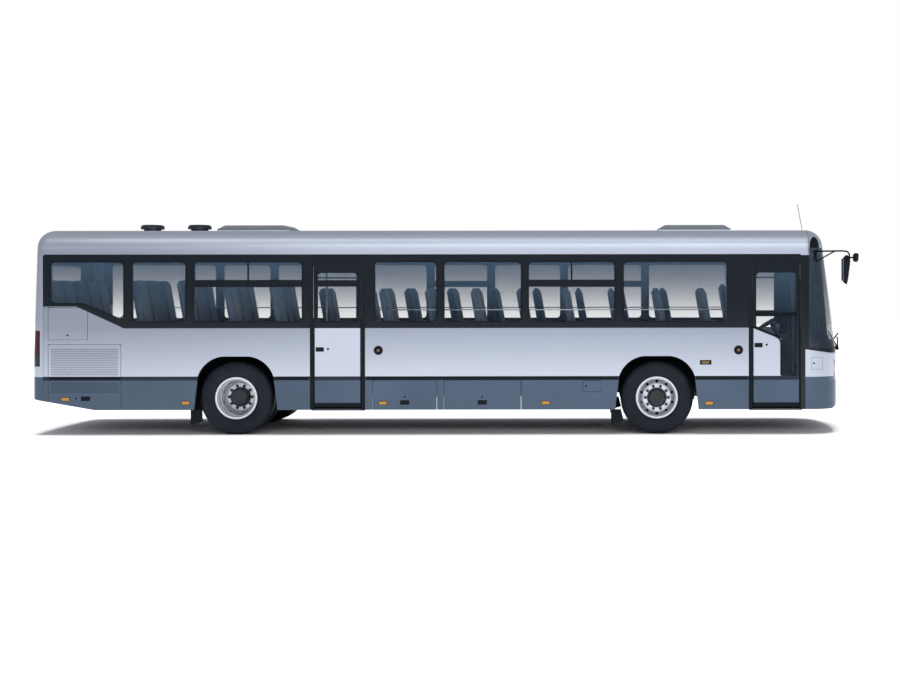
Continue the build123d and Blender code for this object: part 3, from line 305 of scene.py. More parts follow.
def spot(shader, across, z, middle, radii):
    """1 inside an ellipse and 0 outside it."""
    a = shader.math("DIVIDE", shader.minus(across, middle[0]), radii[0])
    b = shader.math("DIVIDE", shader.minus(z, middle[1]), radii[1])
    square = shader.math("ADD", shader.times(a, a), shader.times(b, b))
    return shader.spread(square, 0.94, 1.06, 1.0, 0.0)


def plate_on(shader, paint, y, z, low_z, where):
    """A blank number plate with a dark edge."""
    high_z = low_z + plate_height
    inside = shader.times(shader.between(z, low_z, high_z), shader.below(shader.off(y), plate_half))
    paint = shader.mix(shader.times(inside, where), paint, plate_white)
    edge = seam_box(shader, y, z, (-plate_half, low_z), (plate_half, high_z), 0.012)
    return shader.mix(shader.times(edge, where), paint, band_black)


def front_end_paint():
    """Skirt, silver mask whose top edge drops forwards, black round the glass and beside the front door."""
    shader = Shader("front_paint", silver, 0.3, 0.7)
    x, y, z = shader.place()
    in_front = shader.above(x, 0.0)
    on_right = shader.spread(y, -0.9, -0.89, 1.0, 0.0)
    band_bottom = shader.spread(x, mask_start_x, mask_end_x, *mask_top_z)
    post = shader.times(shader.times(in_front, shader.below(x, mask_start_x)), on_right)
    post = shader.times(post, shader.below(z, band_high))
    in_band = shader.most(shader.between(z, band_bottom, band_high), post)
    above_skirt = shader.above(z, mask_low_z)
    lock = spot(shader, x, z, flap_lock, (lock_radius, lock_radius))
    marks = shader.times(shader.most(seam_box(shader, x, z, flap_low, flap_high), lock), on_right)
    paint = shader.mix(above_skirt, skirt_tint(shader), shader.mix(marks, flecked_silver(shader), band_black))
    paint = plate_on(shader, paint, y, z, plate_low_z, in_front)
    return finish_paint(shader, paint, in_band, above_skirt)


def rear_end_paint(name, louvred=False):
    """Skirt grey low down, silver above with painted shade on the cap's sides, and black round the rear
    window. The engine lid is louvred, its gaps painted dark as shade.
    """
    shader = Shader(name, silver, 0.3, 0.7)
    _, y, z = shader.place()
    off_middle = shader.off(y)
    in_band = shader.times(shader.between(z, *rear_band_z), shader.below(off_middle, rear_band_half))
    above_skirt = shader.above(z, rail_top - 0.005)
    # Painted shade: the cap's sides darken upwards from the rail.
    on_side = shader.spread(off_middle, 1.08, 1.22, 0.0, 0.6)
    shade = shader.times(on_side, shader.spread(z, rail_top, 1.70))
    paint = shader.mix(above_skirt, skirt_tint(shader), flecked_silver(shader, shade))
    if louvred:
        field = shader.times(shader.between(z, *rear_louvre_z), shader.below(off_middle, rear_louvre_half))
        # The louvre gaps are dark stripes of painted shade.
        louvre_gap_shade = shader.times(field, shader.spread(shader.wave(z, rear_slat_pitch), 0.2, 0.5))
        paint = shader.mix(louvre_gap_shade, paint, rail_dark)
        paint = plate_on(shader, paint, y, z, rear_plate_low_z, 1.0)
    return finish_paint(shader, paint, in_band, above_skirt)


def roof_paint():
    """Silver roof with fine drawn lines along its sides, painted shade on the lower part of the sides, a seam
    and a dark oval at the front corner.
    """
    shader = Shader("roof_silver", silver, 0.34, 0.78)
    x, y, z = shader.place()
    on_side = shader.spread(shader.off(y), 1.17, 1.21)
    faint = shader.times(shader.wave(z, roof_line_pitch), on_side)
    # Painted shade: the roof's sides darken towards their lower edge.
    paint = flecked_silver(shader, shader.times(on_side, shader.spread(z, 2.66, 2.84, 0.80, 0.0)))
    paint = shader.mix(shader.spread(faint, 0.2, 1.0, 0.0, 0.22), paint, roof_line)
    seam_line = shader.spread(shader.off(x, roof_seam_x), 0.0025, 0.0035, 0.8, 0.0)
    oval = spot(shader, x, z, corner_oval, corner_oval_radii)
    shader.colour(shader.mix(shader.most(seam_line, oval), paint, band_black))
    shader.bump(faint, 0.0006, 0.35)
    shader.coat(0.08, 0.08)
    return shader.material


def shaded(colour, share):
    """A colour brought down to a share of itself."""
    return tuple(channel * share for channel in colour)


def plain_material(
    name, colour, roughness, metallic=0.0, variation=0.25, grain=60.0, depth=0.0003, gloss=0.25
):
    """A worn, slightly mottled surface of one colour."""
    shader = Shader(name, colour, roughness, metallic)
    shader.colour(shader.mix(shader.clouds(grain * 0.05, 5.0), colour, shaded(colour, 1 - variation)))
    fine = shader.noise(grain, 3.0)
    shader.gloss(gloss)
    shader.roughness(shader.spread(fine, 0.3, 0.7, roughness * 0.85, min(1.0, roughness * 1.15)))
    shader.bump(fine, depth, 0.5)
    return shader.material


def glass_material(name, tint, low_z, high_z, low_alpha, high_alpha):
    """Tinted pane, deeper towards its top, with faint ripples in the gloss, seen through by its alpha."""
    shader = Shader(name, tint, 0.03)
    _, _, z = shader.place()
    shader.link(shader.spread(z, low_z, high_z, low_alpha, high_alpha), shader.surface.inputs["Alpha"])
    shader.surface.inputs["IOR"].default_value = 1.5
    ripple = shader.noise(1.1, 2.0)
    shader.colour(shader.mix(ripple, tint, shaded(tint, 0.85)))
    shader.bump(ripple, 0.002, 0.15)
    return shader.material


def wheel_material(name, axle_x, face_y):
    """Silver rim and disc with painted shade on the dish, dark hub and iron behind, told apart by their
    distance from the axle.
    """
    shader = Shader(name, steel_grey, 0.35, 0.6)
    x, y, z = shader.place()
    across = shader.minus(x, axle_x)
    up = shader.minus(z, wheel_z)
    radius = shader.math("SQRT", shader.math("ADD", shader.times(across, across), shader.times(up, up)))
    disc = shader.spread(radius, 0.143, 0.145)
    outside = shader.spread(shader.off(y), face_y - 0.02, face_y - 0.018)
    outside = shader.most(outside, shader.spread(radius, 0.214, 0.216))
    paint_share = shader.times(disc, outside)
    painted = shader.mix(shader.clouds(14.0, 4.0), (0.70, 0.73, 0.78), (0.58, 0.61, 0.66))
    # Painted shade darkens the dish between the disc and the rim.
    dish_painted_shade = shader.times(shader.spread(radius, 0.212, 0.216), shader.spread(radius, 0.262, 0.258))
    painted = shader.mix(shader.times(dish_painted_shade, 0.55), painted, (0.16, 0.18, 0.21))
    shader.colour(shader.mix(paint_share, (0.014, 0.016, 0.020), painted))
    shader.metallic(shader.blend_number(paint_share, 0.1, 0.40))
    shader.roughness(shader.blend_number(paint_share, 0.5, 0.36))
    shader.bump(shader.noise(90.0, 3.0), 0.0002, 0.5)
    return shader.material


def tyre_material():
    """Black rubber, faintly mottled, with a fine grain."""
    shader = Shader("tyre_rubber", tyre_black, 0.55)
    fine = shader.noise(120.0, 4.0)
    shader.colour(shader.mix(shader.clouds(5.0, 4.0), tyre_black, (0.009, 0.013, 0.020)))
    shader.roughness(shader.spread(fine, 0.3, 0.7, 0.45, 0.60))
    shader.gloss(0.16)
    shader.bump(fine, 0.0006, 0.6)
    return shader.material


def fabric_material(name, colour, second):
    """Woven cloth: crossed threads over a mottled colour."""
    shader = Shader(name, colour, 0.85)
    _, y, z = shader.place()
    weave = shader.times(shader.wave(y, thread_pitch), shader.wave(z, thread_pitch))
    tint = shader.mix(shader.clouds(9.0, 4.0), colour, second)
    shader.colour(shader.mix(shader.spread(weave, -1.0, 1.0, 0.0, 0.35), tint, shaded(colour, 0.7)))
    shader.surface.inputs["Sheen Weight"].default_value = 0.35
    shader.surface.inputs["Sheen Roughness"].default_value = 0.5
    shader.bump(weave, 0.0008, 0.5)
    return shader.material


def lamp_material(name, colour, line_pitch, headlamp=False):
    """Moulded lens with fine prisms behind a glossy face. A headlamp has round reflectors in a dark
    housing, and body paint where it wraps round the corner."""
    shader = Shader(name, colour, 0.08)
    _, y, z = shader.place()
    prisms = shader.times(shader.wave(z, line_pitch), shader.wave(y, line_pitch))
    lens = shader.mix(shader.spread(prisms, -1.0, 1.0), colour, shaded(colour, 0.55))
    if headlamp:
        off_middle = shader.off(y)
        lit = 0.0
        for reflector_y, radius in reflectors:
            middle = (reflector_y, reflector_z)
            bulb = spot(shader, off_middle, z, middle, (radius * 0.35, radius * 0.35))
            disc = spot(shader, off_middle, z, middle, (radius, radius))
            lit = shader.most(lit, shader.minus(disc, shader.times(bulb, 0.6)))
        lens = shader.mix(lit, housing_dark, lens)
        painted = shader.spread(off_middle, headlamp_glass_half, headlamp_glass_half + 0.002)
        lens = shader.mix(painted, lens, shader.mix(shader.above(z, mask_low_z), skirt_blue, silver))
    shader.colour(lens)
    shader.bump(prisms, 0.0006, 0.4)
    shader.gloss(0.3)
    shader.coat(0.3, 0.04)
    return shader.material


def tail_lamp_material():
    """Dark red lens above a grey reversing lens, split by height."""
    shader = Shader("tail_lamp_lens", (0.16, 0.012, 0.012), 0.1)
    _, _, z = shader.place()
    ribs = shader.wave(z, 0.012)
    red = shader.mix(shader.spread(ribs, -1.0, 1.0), (0.060, 0.006, 0.008), (0.030, 0.003, 0.005))
    shader.colour(shader.mix(shader.spread(z, 1.148, 1.152), (0.018, 0.025, 0.035), red))
    shader.bump(ribs, 0.0006, 0.4)
    shader.gloss(0.2)
    shader.coat(0.1, 0.05)
    return shader.material


# The materials
thread_pitch = 0.004
front_disc_y = 1.170
rear_disc_y = 0.940
side = side_paint("side_paint")
front_door_paint = side_paint("front_door_paint", door_panel=True, deepest_painted_shade=0.35)
middle_door_paint = side_paint("middle_door_paint", deepest_painted_shade=0.10)
front_paint = front_end_paint()
rear_paint = rear_end_paint("rear_paint")
rear_lid_paint = rear_end_paint("rear_lid_paint", louvred=True)
roof_silver = roof_paint()
black_plastic = plain_material("black_plastic", (0.006, 0.010, 0.015), 0.42, 0.0, 0.3, 220.0, 0.0002, 0.10)
black_rubber = plain_material("black_rubber", rubber_black, 0.62, 0.0, 0.3, 150.0, 0.0003, 0.10)
mirror_face = plain_material("mirror_face", (0.55, 0.58, 0.62), 0.04, 1.0, 0.05, 3.0, 0.0)
seam_dark = plain_material("seam_dark", (0.03, 0.035, 0.045), 0.6)
frame_black = plain_material("frame_black", (0.020, 0.021, 0.024), 0.5, 0.1, 0.4, 40.0, 0.0005)
cast_iron = plain_material("cast_iron", iron_dark, 0.62, 0.4, 0.4, 70.0, 0.0008)
inner_grey = plain_material("inner_grey", (0.30, 0.31, 0.33), 0.6, 0.0, 0.15, 90.0, 0.0003)
floor_cover = plain_material("floor_cover", (0.070, 0.080, 0.095), 0.7, 0.0, 0.35, 160.0, 0.0004)
dash_plastic = plain_material("dash_plastic", (0.035, 0.040, 0.048), 0.55, 0.0, 0.3, 320.0, 0.0004)
brushed_steel = plain_material("brushed_steel", (0.55, 0.57, 0.60), 0.28, 0.9, 0.1, 240.0, 0.0001)
hatch_grey = plain_material("hatch_grey", (0.30, 0.33, 0.36), 0.35, 0.0, 0.15, 60.0, 0.0003)
vent_plastic = plain_material("vent_plastic", (0.035, 0.042, 0.055), 0.3, 0.0, 0.3, 60.0, 0.0003)
window_glass = glass_material("window_glass", (0.060, 0.110, 0.175), 1.72, 2.50, 0.08, 0.50)
screen_glass = glass_material("screen_glass", (0.045, 0.070, 0.100), 1.40, 2.60, 0.30, 0.58)
amber_lens = lamp_material("amber_lens", amber, 0.006)
clear_lens = lamp_material("clear_lens", (0.62, 0.66, 0.72), 0.012, headlamp=True)
marker_lens = lamp_material("marker_lens", (0.60, 0.29, 0.02), 0.006)
tail_lens = tail_lamp_material()
tyre_rubber = tyre_material()
fabric_blue = fabric_material("fabric_blue", (0.030, 0.046, 0.072), (0.050, 0.074, 0.110))
front_wheel_paint = wheel_material("front_wheel_paint", front_axle_x, front_disc_y)
rear_wheel_paint = wheel_material("rear_wheel_paint", rear_axle_x, rear_disc_y)


def dress(material, *names):
    """Gives CAD nodes their finished material."""
    for name in names:
        slots = nodes[name].data.materials
        slots.clear()
        slots.append(material)


dress(side, "left_wall", "right_rear_wall", "right_front_wall", "side_skirts", "fuel_lid")
dress(side, "upper_side_lid", "engine_side_door", "rear_locker_lid", "front_locker_lid", "left_locker_lid")
dress(middle_door_paint, "middle_door_leaf")
dress(front_door_paint, "front_door_leaf")
dress(front_paint, "front_mask", "bumpers")
dress(rear_paint, "rear_cap")
dress(rear_lid_paint, "engine_lid")
dress(roof_silver, "roof")
dress(window_glass, "body_windows", "front_door_glass", "middle_door_glass")
dress(screen_glass, "windscreen")
dress(clear_lens, "headlamps")
dress(tail_lens, "tail_lamps")
dress(black_plastic, "mirrors", "wipers", "aerial")
dress(dash_plastic, "dashboard")
dress(hatch_grey, "front_roof_hatch", "rear_roof_hatch")
dress(vent_plastic, "roof_ventilators")
dress(inner_grey, "door_gear_covers")
dress(floor_cover, "floor")
dress(black_rubber, "mud_flaps", "wheel_boxes")
dress(frame_black, "frame", "front_door_arms", "middle_door_arms", "fuel_tank", "seat_plinths")
dress(cast_iron, "engine", "front_axle", "rear_axle", "front_left_knuckle", "front_right_knuckle")
dress(front_wheel_paint, "front_left_wheel", "front_right_wheel")
dress(rear_wheel_paint, "rear_left_wheels", "rear_right_wheels")
dress(brushed_steel, "handrails")


# Mesh helpers: each returns points and faces, which piece() puts together
box_faces = [(0, 1, 3, 2), (4, 6, 7, 5), (0, 4, 5, 1), (2, 3, 7, 6), (0, 2, 6, 4), (1, 5, 7, 3)]


def slab(x0, x1, y0, y1, z0, z1):
    return [(x, y, z) for x in (x0, x1) for y in (y0, y1) for z in (z0, z1)], box_faces


def strip(x0, x1, z0, z1, stand, sunk=0.0, way=-1):
    """A slab on a side wall, standing out of it and sunk into it by these depths. Way is -1 on the
    right and 1 on the left."""
    y0, y1 = sorted((way * (side_y - sunk), way * (side_y + stand)))
    return slab(x0, x1, y0, y1, z0, z1)


def skin(ring_count, sides):
    """The faces that join rings of points into a closed body."""
    faces = []
    for i in range(ring_count - 1):
        for k in range(sides):
            a, b = i * sides + k, i * sides + (k + 1) % sides
            faces.append((a, b, b + sides, a + sides))
    faces.append(tuple(reversed(range(sides))))
    faces.append(tuple(range((ring_count - 1) * sides, ring_count * sides)))
    return faces


def tube(path, radius, sides=10):
    """Round bar along a path, closed at both ends."""
    path = [Vector(p) for p in path]
    points = []
    for i, here in enumerate(path):
        ahead = path[min(i + 1, len(path) - 1)]
        behind = path[max(i - 1, 0)]
        along = (ahead - behind).normalized()
        across = along.cross(Vector((0, 0, 1)))
        if across.length < 0.01:
            across = along.cross(Vector((1, 0, 0)))
        across.normalize()
        over = along.cross(across)
        for k in range(sides):
            angle = 2 * math.pi * k / sides
            points.append(tuple(here + radius * (math.cos(angle) * across + math.sin(angle) * over)))
    return points, skin(len(path), sides)


def lathe(profile, x, z, sides, start_angle=0.0):
    """Turns (radius, y) points about an axle at x, z. The profile's ends are left open."""
    points = []
    faces = []
    for k in range(sides):
        angle = start_angle + 2 * math.pi * k / sides
        for radius, y in profile:
            points.append((x + radius * math.cos(angle), y, z + radius * math.sin(angle)))
    count = len(profile)
    for k in range(sides):
        for i in range(count - 1):
            a, b = k * count + i, ((k + 1) % sides) * count + i
            faces.append((a, b, b + 1, a + 1))
    return points, faces


def closed_lathe(profile, x, z, sides, start_angle=0.0):
    """As lathe, with the profile closed into a loop."""
    return lathe([*profile, profile[0]], x, z, sides, start_angle)


def button(x, z, radius, depth, way=-1, sides=16, stand=0.0):
    """A round domed stud on a side wall."""
    y = way * (side_y + stand)
    profile = [
        (radius, y),
        (radius, y + way * depth * 0.6),
        (radius * 0.8, y + way * depth),
        (0.0002, y + way * depth),
    ]
    return lathe(profile, x, z, sides)


def rounded(corners, radius, steps=5):
    """A convex polygon's outline with round corners, as points in its own plane."""
    outline = []
    count = len(corners)
    for i, corner in enumerate(corners):
        here = Vector(corner)
        back = (Vector(corners[i - 1]) - here).normalized()
        on = (Vector(corners[(i + 1) % count]) - here).normalized()
        half = back.angle(on) / 2
        reach = radius / math.tan(half)
        centre = here + (back + on).normalized() * radius / math.sin(half)
        start = here + back * reach - centre
        end = here + on * reach - centre
        for k in range(steps + 1):
            share = k / steps
            point = start.lerp(end, share)
            outline.append(centre + point.normalized() * radius)
    return outline


def grown(corners, width):
    """A convex polygon, its edges moved outwards."""
    count = len(corners)
    middle = sum((Vector(c) for c in corners), Vector((0, 0))) / count
    out = []
    for i in range(count):
        a, b, c = Vector(corners[i - 1]), Vector(corners[i]), Vector(corners[(i + 1) % count])
        first = (b - a).normalized()
        second = (c - b).normalized()
        normal_1 = Vector((first.y, -first.x))
        normal_2 = Vector((second.y, -second.x))
        if normal_1.dot(b - middle) < 0:
            normal_1 = -normal_1
            normal_2 = -normal_2
        bisector = (normal_1 + normal_2).normalized()
        out.append(tuple(b + bisector * width / bisector.dot(normal_1)))
    return out


def ring(corners, radius, width, y, depth):
    """A flat frame round a window in a side wall, standing depth proud of y."""
    inner = rounded(corners, radius)
    outer = rounded(grown(corners, width), radius + width)
    count = len(inner)
    points = []
    for line, level in ((inner, y), (outer, y), (inner, y + depth), (outer, y + depth)):
        points += [(p.x, level, p.y) for p in line]
    faces = []
    for i in range(count):
        j = (i + 1) % count
        faces.append((2 * count + i, 2 * count + j, 3 * count + j, 3 * count + i))
        faces.append((i, 2 * count + i, 2 * count + j, j))
        faces.append((count + i, count + j, 3 * count + j, 3 * count + i))
        faces.append((i, j, count + j, count + i))
    return points, faces


def piece(name, parts, material, body, slot, smooth=False, bevel=0.0):
    """One mesh object from several (points, faces) parts, riding on a body."""
    points = []
    faces = []
    for part_points, part_faces in parts:
        start = len(points)
        points += part_points
        faces += [tuple(start + i for i in face) for face in part_faces]
    mesh = bpy.data.meshes.new(name)
    mesh.from_pydata([tuple(p) for p in points], [], faces)
    work = bmesh.new()
    work.from_mesh(mesh)
    bmesh.ops.remove_doubles(work, verts=work.verts, dist=weld / 20)
    bmesh.ops.recalc_face_normals(work, faces=work.faces)
    work.to_mesh(mesh)
    work.free()
    mesh.materials.append(material)
    thing = bpy.data.objects.new(name, mesh)
    bpy.context.scene.collection.objects.link(thing)
    for face in mesh.polygons:
        face.use_smooth = smooth
    if bevel:
        rounding = thing.modifiers.new("rounding", "BEVEL")
        rounding.width = bevel
        rounding.segments = 2
        rounding.limit_method = "ANGLE"
    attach(thing, body)
    return thing


def plastic(name, parts, body="bus_body", **finish):
    return piece(name, parts, black_plastic, body, "plastic_black", **finish)


def rubber(name, parts, body="bus_body", **finish):
    return piece(name, parts, black_rubber, body, "rubber", **finish)


def solids_in(node):
    """The boxes of a node's separate solids, as (low corner, high corner)."""
    work = bmesh.new()
    work.from_mesh(nodes[node].data)
    bmesh.ops.remove_doubles(work, verts=work.verts, dist=weld)
    seen = set()
    boxes = []
    for first in work.verts:
        if first in seen:
            continue
        seen.add(first)
        waiting = [first]
        island = []
        while waiting:
            vert = waiting.pop()
            island.append(vert.co.copy())
            for edge in vert.link_edges:
                other = edge.other_vert(vert)
                if other not in seen:
                    seen.add(other)
                    waiting.append(other)
        low = Vector([min(p[i] for p in island) for i in range(3)])
        high = Vector([max(p[i] for p in island) for i in range(3)])
        boxes.append((low, high))
    work.free()
    return sorted(boxes, key=lambda box: (round(box[0].x, 3), round(box[0].y, 3)))


# Windows: rubber round every pane, and the bars of the opening top lights
bar_low_z = 2.130
bar_high_z = 2.232
gasket = 0.016
proud = 0.003
bar_sunk = 0.012
pane_radius = 0.055
quarter_low_z = 1.900
quarter_bend_share = 0.150
rear_bay_end_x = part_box("middle_door_leaf")[0].x - 0.013
panes = solids_in("body_windows")
right_panes = [box for box in panes if box[1].y < -side_y + 0.1]
left_panes = [box for box in panes if box[0].y > side_y - 0.1]


def pane_corners(low, high):
    """The pane's outline as corners in X and Z. The rearmost right pane has a slanted lower edge."""
    if low.x < cap_x + 0.3 and low.y < 0:
        bend_x = cap_x + quarter_bend_share * (rear_bay_end_x - cap_x)
        return [
            (low.x, quarter_low_z),
            (bend_x, quarter_low_z),
            (high.x, low.z),
            (high.x, high.z),
            (low.x, high.z),
        ]
    return [(low.x, low.z), (high.x, low.z), (high.x, high.z), (low.x, high.z)]


def rectangle(x0, x1, z0, z1):
    return [(x0, z0), (x1, z0), (x1, z1), (x0, z1)]


gaskets = [ring(pane_corners(*box), pane_radius, gasket, -side_y, -proud) for box in right_panes]
gaskets += [ring(pane_corners(*box), pane_radius, gasket, side_y, proud) for box in left_panes]
rubber("window_gaskets", gaskets, smooth=True)

right_bar_bays = (2, 5)
left_bar_bays = (1, 3, 5)
bar_parts = []
for index in right_bar_bays:
    low, high = right_panes[index]
    bar_parts.append(strip(low.x, high.x, bar_low_z, bar_high_z, proud, bar_sunk))
    middle = (low.x + high.x) / 2
    bar_parts.append(strip(middle - 0.012, middle + 0.012, bar_high_z, high.z, proud, bar_sunk))
for index in left_bar_bays:
    low, high = left_panes[index]
    bar_parts.append(strip(low.x, high.x, bar_low_z, bar_high_z, proud, bar_sunk, 1))
plastic("window_bars", bar_parts, bevel=0.003)

# The driver's window: two uprights and a low bar
driver_bar_z = (1.70, 1.75)
driver_low, driver_high = left_panes[-1]
driver_bars = []
for share in (0.22, 0.30):
    x = driver_low.x + share * (driver_high.x - driver_low.x)
    driver_bars.append(strip(x - 0.011, x + 0.011, driver_bar_z[1], driver_high.z, proud, bar_sunk, 1))
driver_bars.append(strip(driver_low.x, driver_high.x, *driver_bar_z, proud, bar_sunk, 1))
plastic("driver_window_bars", driver_bars, bevel=0.003)

# Doors: rubber edges, handles and locks, the middle door's glass bar and the front door's slanted seam
door_handle_z = {"middle_door": 1.230, "front_door": 1.285}
door_edge = 0.016
door_edge_sunk = 0.004
post_low_z = 0.360


def door_trim(door):
    """Rubber edges round the leaf, with its handle and lock. Returns its glass's box."""
    low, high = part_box(door + "_leaf")
    parts = [
        strip(low.x, low.x + door_edge, low.z + 0.02, high.z, proud, door_edge_sunk),
        strip(high.x - door_edge, high.x, low.z + 0.02, high.z, proud, door_edge_sunk),
        strip(low.x, high.x, low.z, low.z + 0.06, proud, 0.006),
    ]
    rubber(door + "_edges", parts, door, bevel=0.004)
    z = door_handle_z[door]
    x = low.x + 0.028
    handle = [
        strip(x, x + 0.118, z - 0.032, z + 0.032, 0.002, 0.002),
        strip(x + 0.045, x + 0.070, z - 0.022, z + 0.022, 0.005),
        button(x + 0.177, z + 0.006, 0.016, 0.004),
    ]
    plastic(door + "_handle", handle, door, bevel=0.003)
    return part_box(door + "_glass")


low, high = door_trim("middle_door")
middle_bar = [strip(low.x - 0.004, high.x + 0.004, bar_low_z + 0.005, bar_high_z - 0.005, 0.002, 0.02)]
plastic("middle_door_bar", middle_bar, "middle_door", bevel=0.003)
middle_ring = ring(rectangle(low.x, high.x, low.z, high.z), pane_radius, gasket, -side_y, -0.002)
rubber("middle_door_gasket", [middle_ring], "middle_door", smooth=True)

low, high = door_trim("front_door")
front_seam_path = [
    (low.x - 0.05, 1.545),
    (4.80, 1.415),
    (4.862, 1.375),
    (front_corner_x, 1.31),
    (front_corner_x, rail_top + 0.01),
]
front_seam = [
    tube([(x, -side_y, z) for x, z in front_seam_path], 0.012, 8),
    strip(low.x - 0.02, high.x + 0.02, 1.700, 1.745, 0.002, 0.02),
]
rubber("front_door_seams", front_seam, "front_door", smooth=True)

# Door posts: dark uprights beside the openings
posts = []
post_width = 0.042
post_lap = 0.009
door_gap = 0.013
for door in ("middle_door", "front_door"):
    low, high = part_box(door + "_leaf")
    lap_x0 = low.x - door_gap + post_lap
    lap_x1 = high.x + door_gap - post_lap
    post_end = high.x + door_gap + post_width
    if post_end >= nose_x:
        post_end = nose_x - 0.002
    posts.append(strip(low.x - door_gap - post_width, lap_x0, post_low_z, band_high, proud, door_edge_sunk))
    posts.append(strip(lap_x0, lap_x1, high.z + 0.004, band_high, proud, door_edge_sunk))
    posts.append(strip(lap_x1, post_end, post_low_z, band_high, proud, door_edge_sunk))
plastic("door_posts", posts, bevel=0.002)

# Seams between panels, drawn as thin dark strips
seam = 0.004
seam_proud = 0.0008
engine_seam_x = -4.618
locker_seam_x = 1.142


def upright_seam(x, z0, z1, way=-1):
    return strip(x - seam / 2, x + seam / 2, z0, z1, seam_proud, seam_proud, way)


def level_seam(x0, x1, z, way=-1):
    return strip(x0, x1, z - seam / 2, z + seam / 2, seam_proud, seam_proud, way)


seams = [
    level_seam(cap_x, -5.11, 1.840),
    upright_seam(engine_seam_x, skirt_low_z, skirt_top),
    upright_seam(locker_seam_x, skirt_low_z, skirt_top),
    upright_seam(cap_x + 0.004, 0.56, band_high),
    upright_seam(cap_x + 0.004, 0.56, band_high, 1),
    upright_seam(-1.500, skirt_low_z, skirt_top, 1),
    upright_seam(locker_seam_x, skirt_low_z, skirt_top, 1),
    upright_seam(engine_seam_x, 0.40, skirt_top, 1),
]
piece("panel_seams", seams, seam_dark, "bus_body", "rubber")

# Drip rails at the eaves
drip = [strip(cap_x + 0.02, nose_x, band_high, band_high + 0.014, 0.006, way=way) for way in (-1, 1)]
rubber("drip_rails", drip, bevel=0.002)

# Rub rail along both sides, in the dark line above the skirts
arch_half = 0.565
door_rub_x = (-1.925, -1.090)
front_door_room = 0.780


def rub_strip(x0, x1, way):
    return strip(x0, x1, skirt_top + 0.008, rail_top - 0.008, 0.008, way=way)


rub = [
    rub_strip(rear_axle_x + arch_half, door_rub_x[0], -1),
    rub_strip(door_rub_x[1], front_axle_x - arch_half, -1),
    rub_strip(front_axle_x + arch_half, nose_x - front_door_room, -1),
    rub_strip(cap_x + 0.08, rear_axle_x - arch_half, 1),
    rub_strip(rear_axle_x + arch_half, front_axle_x - arch_half, 1),
    rub_strip(front_axle_x + arch_half, nose_x, 1),
]
rubber("rub_rails", rub, bevel=0.003)
low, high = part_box("engine_side_door")
rubber("engine_door_rub_rail", [rub_strip(low.x + 0.01, high.x - 0.01, -1)], "engine_side_door", bevel=0.003)

# Amber markers low on the skirts, with dark holders. Three of them move with a lid
marker_half = (0.055, 0.022)
holder_margin = 0.006
marker_places = [(-5.420, 0.518), (-3.690, 0.462), (-0.855, 0.458), (1.490, 0.458), (3.845, 0.450)]
marker_lids = {(-1, 0): "engine_side_door", (-1, 2): "rear_locker_lid", (1, 2): "left_locker_lid"}
marker_names = {
    "bus_body": ("skirt_markers", "skirt_marker_holders"),
    "engine_side_door": ("engine_door_marker", "engine_door_marker_holder"),
    "rear_locker_lid": ("locker_marker", "locker_marker_holder"),
    "left_locker_lid": ("left_locker_marker", "left_locker_marker_holder"),
}
markers = {body: ([], []) for body in marker_names}
for way in (-1, 1):
    for i, (x, z) in enumerate(marker_places):
        group = markers[marker_lids.get((way, i), "bus_body")]
        for parts, margin, stand in ((group[0], 0.0, 0.007), (group[1], holder_margin, 0.003)):
            half_x, half_z = (half + margin for half in marker_half)
            parts.append(strip(x - half_x, x + half_x, z - half_z, z + half_z, stand, way=way))
for body, (lens_name, holder_name) in marker_names.items():
    piece(lens_name, markers[body][0], marker_lens, body, "lamp_clear", bevel=0.004)
    plastic(holder_name, markers[body][1], body, bevel=0.003)


# Handle recesses and locks on the lids
def lid_handle(name, body, x, z, lock_x, lock_z, way=-1):
    parts = [
        strip(x - 0.066, x + 0.066, z - 0.032, z + 0.032, 0.002, 0.002, way),
        strip(x - 0.050, x + 0.050, z - 0.006, z + 0.018, 0.004, 0.004, way),
        button(lock_x, lock_z, 0.013, 0.004, way),
    ]
    plastic(name, parts, body, bevel=0.002)


lid_handle("engine_side_door_handle", "engine_side_door", -5.130, 0.525, -5.263, 0.527)
lid_handle("rear_locker_handle", "rear_locker_lid", -0.540, 0.465, -0.540, 0.545)
lid_handle("front_locker_handle", "front_locker_lid", 0.576, 0.465, 0.576, 0.545)
lid_handle("left_locker_handle", "left_locker_lid", -0.924, 0.465, -0.924, 0.545, 1)
plastic("upper_side_lid_lock", [button(-5.387, 1.437, 0.014, 0.004)], "upper_side_lid", smooth=True)
plastic("fuel_lid_lock", [button(2.074, 0.697, 0.013, 0.004)], "fuel_lid", smooth=True)

# Louvres in the engine's side door: wedges that stand out of it
louvre_x0 = -5.625
louvre_x1 = -4.665
louvre_pitch = 0.0325
louvre_depth = 0.0035
louvre_fields = ((0.862, 1.262), (0.605, 0.775))
slats = []
for low_z, high_z in louvre_fields:
    for i in range(int((high_z - low_z) / louvre_pitch)):
        z = low_z + i * louvre_pitch
        wedge = [(-side_y, z), (-side_y - louvre_depth, z + 0.004), (-side_y, z + louvre_pitch * 0.8)]
        points = [(x, y, level) for y, level in wedge for x in (louvre_x0, louvre_x1)]
        slats.append((points, [(0, 1, 3, 2), (2, 3, 5, 4), (0, 2, 4), (1, 5, 3), (0, 4, 5, 1)]))
piece("louvres", slats, side, "engine_side_door", "body_silver")

